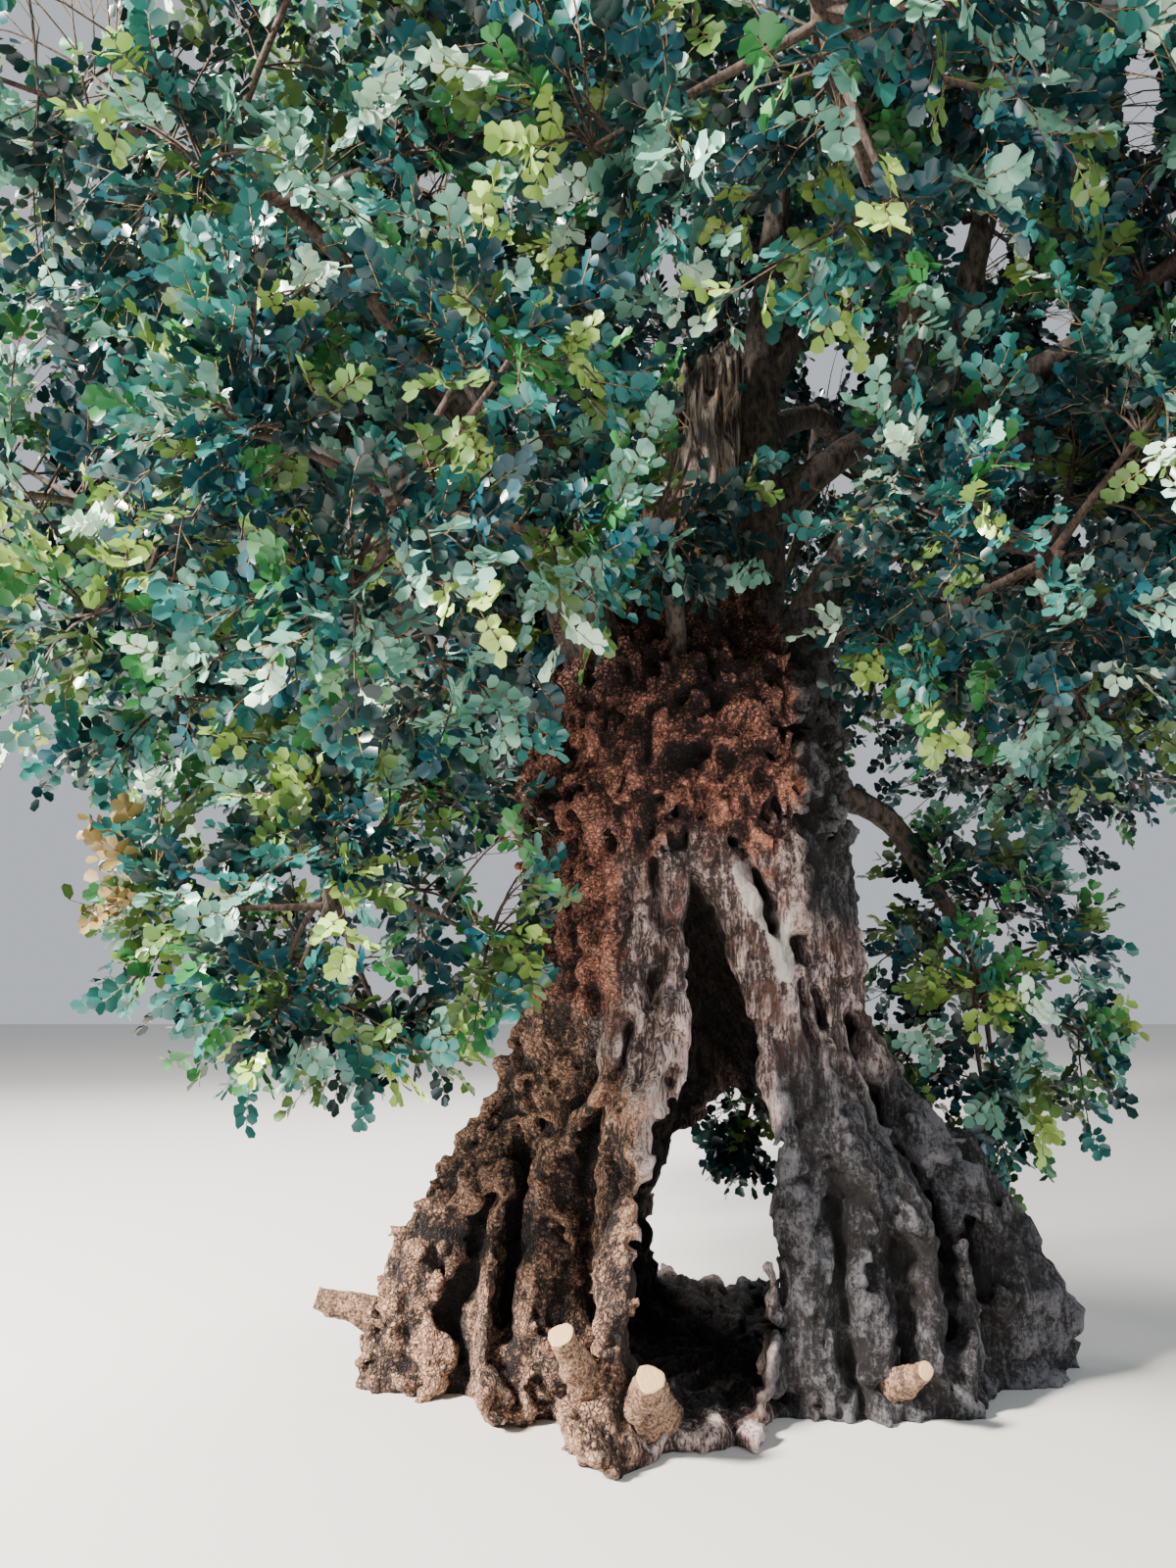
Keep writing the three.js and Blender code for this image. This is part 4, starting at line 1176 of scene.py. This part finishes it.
TUBES = tube_tree()
print("the tube tree has", len(TUBES.nodes), "nodes")

# %% The boughs
WANDER = 0.05  # how far a limb strays from its even bend
COLLAR = dict(swell=0.35, length=0.05)  # where a limb leaves another, as shares of its radius and length
UNEVEN = 0.10


def limb_line(limb, steps=34):
    shares = np.linspace(0, 1, steps)
    points, _ = along_bend(limb["bend"], shares)
    stray = np.stack([lattice_noise(points.astype(np.float32), 50 + k, 0.42) for k in range(3)], axis=1)
    fade = np.sin(math.pi * shares)[:, None] ** 0.7
    root, tip = limb["radii"]
    radii = root + (tip - root) * shares
    if limb["mass"]["name"] not in TRUNK_BORNE:
        radii = radii * (1 + COLLAR["swell"] * np.exp(-shares / COLLAR["length"]))
    radii = radii * (1 + UNEVEN * lattice_noise(points.astype(np.float32), 60, 0.16))
    return points + stray * WANDER * fade * min(1, root / 0.06), radii


def limb_finish(name, low, high, scale):
    finish, r, shader = new_finish(name)
    grain = noise(r, stretched(r, (1, 1, 0.35)), scale, 7, 0.68)
    patches = noise(r, stretched(r, (1, 1, 1)), scale / 6, 4, 0.6)
    colour = r.mix(grain.between(0.35, 0.64), paint(*low), paint(*high))
    colour = r.mix(patches.between(0.55, 0.68) * 0.4, colour, paint(*high))
    finish_surface(r, shader, colour, 0.95 - grain * 0.15, grain, 0.4 / scale)
    return finish


LIMB_LINES = {limb["mass"]["name"]: limb_line(limb) for limb in LIMBS}
bough_bark = limb_finish("limb_bark", (15, 13, 12), (88, 78, 70), 48)
boughs = grown(
    "boughs", lines_mesh("boughs", list(LIMB_LINES.values())), TUBES,
    Sides=18, Relief=0.5, Grain=16.0, Finish=bough_bark,
)
print("boughs:", len(boughs.data.polygons), "faces")

# %% [markdown]
# ## Twigs by the same rule
# In each mass the limb goes on as a stem to the middle, and nine main twigs leave it on a golden spiral, wherever
# there is room. From here the rule is carried further: many shoots end on a second golden spiral in
# the outer part of the mass, and each starts at the nearest wood that is already there. So nothing hangs in the air,
# and the leaves at the ends of the shoots fill the same space as the solids do.

# %% Twigs and shoots
TWIG = dict(count=9, stem=0.024, root=0.017, tip=0.007, reach=0.66, room=0.2, along=0.3)
USUAL_FULLNESS = 1.25
SHOOT = dict(
    spread=0.0108, shares=(0.5, 0.99), crowding=0.55, least=0.3, shrink=0.9, room=0.03, scatter=0.15, shortest=0.06,
    root=0.0055, tip=0.0022, sag=0.10, steps=6,
)
FULLNESS = dict(
    low_left=2.8, front_left=2.2, front_right=2.4, over_fork=2.6, low_right=2.2, behind_hollow=12, middle_7=2.0,
    skirt_1=1.8, upper_1=1.5, upper_2=1.5, upper_3=1.5, upper_4=1.5, upper_5=1.5, top=1.7,
)
CROWN_MIDDLE = np.array((0.05, 0.2, 3.4))


def golden_way(i, count, turn):
    height = 1 - 2 * (i + 0.5) / count
    level = math.sqrt(1 - height * height)
    return np.array((level * math.cos(i * GOLDEN_ANGLE + turn), level * math.sin(i * GOLDEN_ANGLE + turn), height))


def crooked(start, end, radii, rng, steps, sag=0.0, wander=0.05):
    """A line from start to end that bends a little to one side, with its radius at each point."""
    shares = np.linspace(0, 1, steps)
    length = np.linalg.norm(end - start)
    side = rng.normal(size=3) * wander * length
    side[2] += sag * length
    points = start + (end - start) * shares[:, None] + side * (4 * shares * (1 - shares))[:, None]
    return points, radii[0] + (radii[1] - radii[0]) * shares


def main_twigs(limb, rng):
    """The stem and main twigs of a mass, at the places that the solids' rule gives."""
    mass, random = limb["mass"], limb["mass"]["twig_random"]
    scale, middle, tip = mass["scale"], mass["centre"], LIMB_LINES[mass["name"]][0][-1]
    lines = [crooked(tip, middle, (limb["radii"][1], TWIG["root"] * scale), rng, 6)]
    for i in range(TWIG["count"]):
        turn = random()
        way = golden_way(i, TWIG["count"], turn)
        start = middle + (limb["bend"][2] - middle) * TWIG["along"] * random()
        end = middle + way * mass["radii"] * TWIG["reach"]
        if room_at(mass, end) >= TWIG["room"] * mass["reach"]:
            lines.append(crooked(start, end, (TWIG["root"] * scale, TWIG["tip"] * scale), rng, 8))
    return lines


def shoots_of(limb, bearers, rng):
    mass = limb["mass"]
    count = max(7, round(mass["reach"] ** 2 / SHOOT["spread"] * FULLNESS.get(mass["name"], USUAL_FULLNESS)))
    spots = np.concatenate([points for points, _ in bearers])
    inner, outer = SHOOT["shares"]
    shoots = []
    for i in range(count):
        way = golden_way(i, count, rng.random() * 0.5) * mass["radii"]
        share = inner + (outer - inner) * rng.random() ** SHOOT["crowding"]
        end = mass["centre"] + way * share
        while room_at(mass, end) < SHOOT["room"] and share > SHOOT["least"]:
            share *= SHOOT["shrink"]
            end = mass["centre"] + way * share
        gap = np.linalg.norm(spots - end, axis=1)
        start = spots[np.argmin(gap + SHOOT["scatter"] * rng.random(len(gap)))]
        if share > SHOOT["least"] and np.linalg.norm(end - start) > SHOOT["shortest"]:
            shoots.append(crooked(start, end, (SHOOT["root"], SHOOT["tip"]), rng, SHOOT["steps"], SHOOT["sag"]))
    return shoots


CROWN = []
for i, limb in enumerate(LIMBS):
    rng = np.random.default_rng(700 + i)
    twigs = main_twigs(limb, rng)
    CROWN.append(dict(limb=limb, twigs=twigs, shoots=shoots_of(limb, twigs, rng)))
print(sum(len(c["twigs"]) for c in CROWN), "twigs and", sum(len(c["shoots"]) for c in CROWN), "shoots")

# %% [markdown]
# ## Leaves
# A carob leaf is a stalk with four or so pairs of round, leathery leaflets, each a little notched at its tip and
# folded along its middle. Four triangles give that outline. The rule puts leaves round the outer part of each shoot,
# turned by the golden angle, with their upper sides to the light. Each leaflet is a point that carries
# three numbers: which way it points, which way it faces and how long it is.

# %% Where the leaves go
LEAF = dict(each=8, old=5, stalk=0.112, first=0.2)
LEAF_WAY = dict(ahead=0.75, around=0.8, outward=0.35, loose=0.12, up=0.12)  # what a leaf's way is mixed from
LEAF_FACE = dict(up=0.7, outward=0.45, loose=0.5)
PAIRS = [(0.26, 68, 0.84), (0.50, 64, 1.0), (0.75, 56, 1.0), (1.0, 28, 0.94)]  # share of the stalk, degrees, size
LEAFLET = dict(length=0.053, width=0.78, lift=0.12, fold=0.25)
LOOSE = dict(degrees=9, lift=0.22, fold=0.35, face=0.28)  # how unevenly leaflets turn about each of their ways
SMALLER = dict(front_left=0.84, front_right=0.84, over_fork=0.84, low_left=0.84, low_right=0.88)  # sunny, low shoots
EDGE = 0.06  # how far a leaflet may stray past the room of its mass
FARTHER = dict(behind_hollow=0.12, over_fork=0.10)
OFF_THE_BOX, OFF_THE_GROUND = 0.002, 0.06
FALLEN = 0.04  # the share of leaflets that have dropped
TOO_FEW = 5  # a shoot that keeps no more leaflets than this isn't drawn
LEADER_ROOM = dict(middle=(-0.13, 0.06), reach=0.22, above=0.2)
FOCUS = 1202  # the lens's length in the frame's pixels


def seen_at(points):
    """Where points show in the view from the camera, on a frame of 1200 by 1600."""
    pitch = math.radians(LOOKING_UP)
    away = points - np.array(EYE)
    ahead = away[..., 1] * math.cos(pitch) + away[..., 2] * math.sin(pitch)
    up = away[..., 2] * math.cos(pitch) - away[..., 1] * math.sin(pitch)
    return FRAME[0] / 2 + FOCUS * away[..., 0] / ahead, FRAME[1] / 2 - FOCUS * up / ahead


# Openings in the crown as the camera sees them: middle, half width, half height, and the depth y to clear up to.
OPENINGS = [
    (60, 20, 70, 45, 9), (1165, 110, 24, 75, 9), (1000, 250, 40, 36, 9), (442, 186, 22, 16, 9), (20, 900, 76, 84, 9),
    (510, 900, 36, 55, 9), (748, 440, 16, 45, 9), (842, 380, 26, 28, 9), (850, 480, 26, 36, 9), (1080, 330, 26, 24, 9),
    (800, 405, 54, 84, 0.15), (722, 420, 40, 84, 0.0), (705, 1000, 165, 240, 0.3), (690, 800, 120, 60, -0.3),
]


def in_opening(points):
    u, v = seen_at(points)
    ragged = 0.85 + 0.75 * lattice_noise(points.astype(np.float32), 90, 0.11)
    hidden = np.zeros(len(points), bool)
    for middle_u, middle_v, half_u, half_v, depth in OPENINGS:
        inside = ((u - middle_u) / half_u) ** 2 + ((v - middle_v) / half_v) ** 2 < ragged
        hidden |= inside & (points[:, 1] < depth)
    return hidden


def in_wood(points):
    """True in or close to the trunk and the leader."""
    trunk_near = (depth_in_column(points) > -0.03) & (points[:, 2] < FORK_HEIGHT + 0.1)
    aside = points[:, :2] - np.array(LEADER_ROOM["middle"])
    spire_near = np.hypot(aside[:, 0], aside[:, 1]) < LEADER_ROOM["reach"]
    return trunk_near | (spire_near & (points[:, 2] < LEADER[0]["crest"] + LEADER_ROOM["above"]))


def uneven(rng, shape):
    """Sizes by chance, from 0.8 to 1.2 of the usual."""
    return 0.8 + 0.4 * rng.random(shape)


def stalks_on(crown_part, rng):
    """Leaf stalks round the shoots of one mass: root, way, upper side, length, place on the shoot, shoot and spray."""
    mass = crown_part["limb"]["mass"]
    lines = np.array([points for points, _ in crown_part["shoots"]])
    count, steps = len(lines), lines.shape[1]
    shares = np.linspace(LEAF["first"], 1, LEAF["each"])[None, :] + rng.normal(size=(count, LEAF["each"])) * 0.03
    place = np.clip(shares, 0, 0.999) * (steps - 1)
    low = place.astype(int)
    rows = np.arange(count)[:, None]
    roots = lines[rows, low] + (lines[rows, low + 1] - lines[rows, low]) * (place - low)[..., None]
    along = unit(lines[rows, low + 1] - lines[rows, low])
    turn = (np.arange(LEAF["each"]) * GOLDEN_ANGLE)[None, :] + rng.random((count, 1)) * TURN
    side = unit(np.cross(along, UP + 0.01))
    other = np.cross(side, along)
    around = side * np.cos(turn)[..., None] + other * np.sin(turn)[..., None]
    outward = unit(roots - mass["centre"]) + 0.5 * unit(roots - CROWN_MIDDLE)
    ahead = LEAF_WAY["ahead"] * (0.45 + 0.75 * shares)[..., None]
    way = along * ahead + around * LEAF_WAY["around"] + outward * LEAF_WAY["outward"]
    way = unit(way + rng.normal(size=roots.shape) * LEAF_WAY["loose"] + UP * LEAF_WAY["up"])
    facing = UP * LEAF_FACE["up"] + outward * LEAF_FACE["outward"] + rng.normal(size=roots.shape) * LEAF_FACE["loose"]
    facing = unit(facing - way * (facing * way).sum(-1, keepdims=True))
    length = LEAF["stalk"] * SMALLER.get(mass["name"], 1) * uneven(rng, (count, LEAF["each"]))
    shoot = np.repeat(np.arange(count), LEAF["each"])
    young = np.tile(np.arange(LEAF["each"]) >= LEAF["old"], count)
    roots, way, facing = (vectors.reshape(-1, 3) for vectors in (roots, way, facing))
    return roots, way, facing, length.reshape(-1), shares.reshape(-1), shoot, shoot * 2 + young


def leaflets_on(roots, way, facing, length, largest, rng):
    """Pairs of leaflets along each stalk, and for each leaflet its stalk and its share of the way along it."""
    across = np.cross(facing, way)
    sets = []
    for share, degrees, size in PAIRS:
        for hand in (-1, 1):
            angle = np.radians(degrees + rng.normal(size=len(roots)) * LOOSE["degrees"])[:, None]
            lift = rng.normal(size=len(roots))[:, None] * LOOSE["lift"] + LEAFLET["lift"]
            leaflet_way = unit(way * np.cos(angle) + across * (hand * np.sin(angle)) + facing * lift)
            fold = rng.normal(size=len(roots)) * LOOSE["fold"] - LEAFLET["fold"]
            face = unit(facing + across * hand * fold[:, None] + rng.normal(size=roots.shape) * LOOSE["face"])
            at = roots + way * (length * (share + 0.03 * hand))[:, None]
            sizes = largest * size * uneven(rng, len(roots))
            sets.append((at, leaflet_way, face, sizes, np.arange(len(roots)), np.full(len(roots), share)))
    return dict(zip(("at", "way", "face", "size", "stalk", "share"), map(np.concatenate, zip(*sets))))


def has_room(mass, leaflets):
    """True for each leaflet that keeps to its mass and clear of openings, wood, ground and the solids' box."""
    middle = leaflets["at"] + leaflets["way"] * (leaflets["size"] * 0.6)[:, None]
    end = leaflets["at"] + leaflets["way"] * leaflets["size"][:, None]
    room = (room_at(mass, middle) > -FARTHER.get(mass["name"], EDGE)) & (middle[:, 2] > OFF_THE_GROUND)
    room &= ~in_opening(middle) & ~in_wood(middle)
    return room & (end > BOX_LOW + OFF_THE_BOX).all(1) & (end < BOX_HIGH - OFF_THE_BOX).all(1)


def leaves_of(crown_part, rng):
    """The leaflets of one mass and their sprays, the stalks' ends, and where on each shoot its last leaf is."""
    mass = crown_part["limb"]["mass"]
    roots, way, facing, length, along, shoot, spray = stalks_on(crown_part, rng)
    largest = LEAFLET["length"] * SMALLER.get(mass["name"], 1)
    leaflets = leaflets_on(roots, way, facing, length, largest, rng)
    keep = has_room(mass, leaflets) & (rng.random(len(leaflets["at"])) > FALLEN)
    leaflets = {key: column[keep] for key, column in leaflets.items()}
    stalk = leaflets["stalk"]
    last_pair, last_leaf = np.zeros(len(roots)), np.zeros(len(crown_part["shoots"]))
    np.maximum.at(last_pair, stalk, leaflets["share"])
    np.maximum.at(last_leaf, shoot[stalk], np.clip(along[stalk] + 0.02, 0, 1))
    last_leaf[np.bincount(shoot[stalk], minlength=len(last_leaf)) <= TOO_FEW] = 0
    used = np.unique(stalk)
    stalks = np.stack((roots[used], roots[used] + way[used] * (length * last_pair)[used, None]), axis=1)
    return dict(leaflets, spray=spray[stalk], stalks=stalks, ends=last_leaf)


for i, part in enumerate(CROWN):
    part["leaves"] = leaves_of(part, np.random.default_rng(900 + i))
LEAFLETS = sum(len(part["leaves"]["at"]) for part in CROWN)
print(LEAFLETS, "leaflets,", sum(len(part["leaves"]["stalks"]) for part in CROWN), "stalks")

# %% [markdown]
# ### Leaf colours, dealt out by spray
# Carob leaves are a deep blue-green when old and brighter when young. The grey-green and pale colours are painted
# reflections of the sky in their wax. The old leaves of one shoot share a plain colour and the young ones at its end
# another, so the colours are dealt out spray by spray, by seeded numbers that lean to light greens on the sunny side,
# as painted sunlight, to olive low down, and to dark ones inside and on the shady side, as painted shade. On the low
# branch at the left some are dying and have turned yellow-brown.

# %% Deal out the colours
# Deep and blue stand for old leaves and, dealt inside and on the shady side, for painted shade; bright for young leaves
# and, on the sunny side, for painted sunlight; grey and pale are painted reflections of the sky.
LEAF_COLOURS = {
    "deep": (8, 40, 39), "blue": (14, 59, 67), "sea": (36, 96, 91), "grey": (100, 148, 131), "olive": (74, 103, 50),
    "green": (44, 104, 54), "bright": (144, 174, 86), "pale": (176, 208, 184), "dying": (126, 106, 62),
}
# Dark colours dealt inside and on the shady side are painted shade; light ones on the sunny side are painted sunlight
# and painted sky reflection.
SHARES = {  # how often a colour is dealt inside the crown, on its shady side, on its sunny side and low down
    "deep": (50, 36, 13, 24), "blue": (34, 33, 17, 8), "sea": (10, 18, 22, 12), "grey": (0, 6, 18, 12),
    "olive": (6, 2, 8, 24), "green": (2, 4, 11, 14), "bright": (0, 0.3, 8, 6), "pale": (0, 0.5, 4, 2),
}
YOUNG = dict(deep=0.5, blue=0.7, sea=1.0, grey=1.3, olive=1.2, green=1.5, bright=2.2, pale=1.4)
DYING_TIP = np.array((-1.93, -0.66, 1.56))
DYING = dict(within=0.24, share=0.4)
SUN = dict(left=0.22, front=0.12, up=0.16, level=3.2)  # how much sunnier a shoot is for each metre that way


def colours_of_sprays(part, rng):
    """Two colour names for each shoot of a mass: that of its old leaves, then that of the young ones at its end."""
    names, mass = list(SHARES), part["limb"]["mass"]
    shares = np.array(list(SHARES.values()), float).T
    young = np.array([YOUNG[name] for name in names])
    chosen = []
    for points, _ in part["shoots"]:
        end = points[-1]
        # A sunnier shoot gets lighter colours, as painted sunlight; one deep inside its mass gets darker ones, as
        # painted shade.
        sun = 0.5 - SUN["left"] * (end[0] - CROWN_MIDDLE[0]) - SUN["front"] * end[1]
        sun = float(np.clip(sun + SUN["up"] * (end[2] - SUN["level"]), 0, 1))
        inner = float(eased(-np.linalg.norm((end - mass["centre"]) / mass["radii"]), -0.85, -0.6))
        low = float(eased(-end[2], -2.2, -1.5)) * (1 - inner)
        odds = np.array((inner, 1 - sun, sun, low)) * (1, 1 - inner, 1 - inner, 2) @ shares
        for age in (odds, odds * young):
            name = names[int(rng.choice(len(names), p=age / age.sum()))]
            if np.linalg.norm(end - DYING_TIP) < DYING["within"] and rng.random() < DYING["share"]:
                name = "dying"
            chosen.append(name)
    return np.array(chosen)


def leaf_finish(name, colour):
    finish, _, shader = new_finish(name)
    shader.inputs["Base Color"].default_value = paint(*colour)
    shader.inputs["Roughness"].default_value = 0.3
    shader.inputs["Specular IOR Level"].default_value = 0.5
    return finish


dealt = {name: [] for name in LEAF_COLOURS}
for i, part in enumerate(CROWN):
    leaves, sprays = part["leaves"], colours_of_sprays(part, np.random.default_rng(300 + i))
    names = sprays[leaves["spray"]]
    for name in LEAF_COLOURS:
        here = names == name
        dealt[name].append([leaves[key][here] for key in ("at", "way", "face", "size")])
dealt = {name: [np.concatenate(column) for column in zip(*rows)] for name, rows in dealt.items()}
print({name: len(rows[0]) for name, rows in dealt.items()})

# %% [markdown]
# ### From points to leaflets
# A second Geometry Nodes tree stands one leaflet on each point. `Axes to Rotation` turns it so that its length runs
# the way it points and its upper side faces the way it faces. Realize Instances then makes real faces of them.

# %% Leaflets
HALF = LEAFLET["width"] / 2
LEAFLET_OUTLINE = [
    (0, 0, 0), (-HALF * 0.86, 0.3, 0.07), (-HALF * 0.94, 0.8, 0.08), (0, 1, -0.02), (HALF * 0.94, 0.8, 0.08),
    (HALF * 0.86, 0.3, 0.07),
]
LEAFLET_FACES = [(0, 2, 1), (0, 3, 2), (0, 4, 3), (0, 5, 4)]


def leaflet_tree():
    inputs = dict(Points="Geometry", Leaflet="Object", Width="Float", Finish="Material")
    r, points, leaflet, width, wax = tree_with("leaflets", **inputs)
    axes = {"primary_axis": "Y", "secondary_axis": "Z"}
    ways = {i: carried(r, name, "FLOAT_VECTOR") for i, name in enumerate(("way", "face"))}
    turned = r.node("FunctionNodeAxesToRotation", axes, ways)
    shape = r.node("GeometryNodeObjectInfo", {"transform_space": "ORIGINAL"}, {"Object": leaflet}, out=4)
    size = carried(r, "size")
    sizes = r.node("ShaderNodeCombineXYZ", {}, {0: size * width, 1: size, 2: size})
    sockets = {"Points": points, "Instance": shape, "Rotation": turned, "Scale": sizes}
    return ended(r, r.node("GeometryNodeInstanceOnPoints", {}, sockets), wax)


def points_mesh(name, at, way, face, size):
    mesh = cloud_of(name, at)
    write_numbers(mesh, size=size)
    for key, vectors in (("way", way), ("face", face)):
        mesh.attributes.new(key, "FLOAT_VECTOR", "POINT").data.foreach_set("vector", vectors.astype(np.float32).ravel())
    return mesh


shape = bpy.data.meshes.new("leaflet_shape")
shape.from_pydata(LEAFLET_OUTLINE, [], LEAFLET_FACES)
leaflet = linked(bpy.data.objects.new("leaflet_shape", shape))
LEAFLETS_TREE = leaflet_tree()
MOST_IN_PIECE = dict(leaflets=46000, stalks=23000)


def in_pieces(name, count, most):
    """Names and slices that share that many things out evenly, at most so many to a piece."""
    pieces = math.ceil(count / most)
    edges = np.linspace(0, count, pieces + 1).astype(int)
    names = [name] if pieces == 1 else [f"{name}_{i + 1}" for i in range(pieces)]
    return zip(names, map(slice, edges[:-1], edges[1:]))


leaf_pieces = []
for name, colour in LEAF_COLOURS.items():
    wax = leaf_finish(f"leaf_{name}", colour)
    for piece_name, part in in_pieces(f"leaves_{name}", len(dealt[name][0]), MOST_IN_PIECE["leaflets"]):
        source = points_mesh(piece_name, *(column[part] for column in dealt[name]))
        leaf_pieces.append(grown(piece_name, source, LEAFLETS_TREE, Leaflet=leaflet, Width=1.0, Finish=wax))
        print(piece_name, len(leaf_pieces[-1].data.polygons), "faces")
bpy.data.objects.remove(leaflet)

# %% Twigs and stalks
STALK_RADII = np.array((0.0019, 0.0012))
twig_bark = limb_finish("twig_bark", (30, 24, 21), (88, 72, 60), 90)
stalk_skin = limb_finish("stalk_skin", (96, 72, 46), (150, 120, 78), 160)
twig_lines = [line for part in CROWN for line in part["twigs"]]


def cut_back(line, end):
    """The line as far as a share of its length."""
    points, radii = line
    place = np.linspace(0, end, len(points)) * (len(points) - 1)
    own = np.arange(len(points))
    return np.stack([np.interp(place, own, points[:, k]) for k in range(3)], axis=1), radii


shoot_lines = [
    cut_back(line, end) for part in CROWN for line, end in zip(part["shoots"], part["leaves"]["ends"]) if end > 0
]
twigs = grown("twigs", lines_mesh("twigs", twig_lines), TUBES, Sides=7, Relief=0.3, Grain=40.0, Finish=twig_bark)
shoots = grown("shoots", lines_mesh("shoots", shoot_lines), TUBES, Sides=3, Relief=0.2, Grain=60.0, Finish=twig_bark)
stalk_ends = np.concatenate([part["leaves"]["stalks"] for part in CROWN])
stalk_lines = [(ends, STALK_RADII) for ends in stalk_ends]
stalk_pieces = [
    grown(name, lines_mesh(name, stalk_lines[part]), TUBES, Sides=3, Relief=0.0, Grain=60.0, Finish=stalk_skin)
    for name, part in in_pieces("leaf_stalks", len(stalk_lines), MOST_IN_PIECE["stalks"])
]
for piece in (twigs, shoots, *stalk_pieces):
    piece.data.calc_loop_triangles()
    print(piece.name, len(piece.data.loop_triangles), "triangles")

# %% [markdown]
# ## Ride and replace
# Every piece rides on the tree's one body and takes the place of the solids that it stands for, which are hidden.

# %% Ride and replace
foliage_nodes = [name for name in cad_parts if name.startswith("foliage_")]
bough_nodes = [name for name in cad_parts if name.startswith("bough_")]


def hand_over(piece, slot, *replaced):
    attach(piece, "root")
    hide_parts(*replaced)


hand_over(trunk, "bark", "trunk")
hand_over(leader, "dead_wood", "dead_leader")
for i, piece in enumerate(suckers):
    hand_over(piece, "bark", f"sucker_{i + 1}")
hand_over(boughs, "bark", *bough_nodes)
for piece in (twigs, shoots):
    hand_over(piece, "bark", *foliage_nodes)
for piece in (*stalk_pieces, *leaf_pieces):
    hand_over(piece, "foliage", *foliage_nodes)

total = 0
for piece in (trunk, leader, *suckers, boughs, twigs, shoots, *stalk_pieces, *leaf_pieces):
    piece.data.calc_loop_triangles()
    total += len(piece.data.loop_triangles)
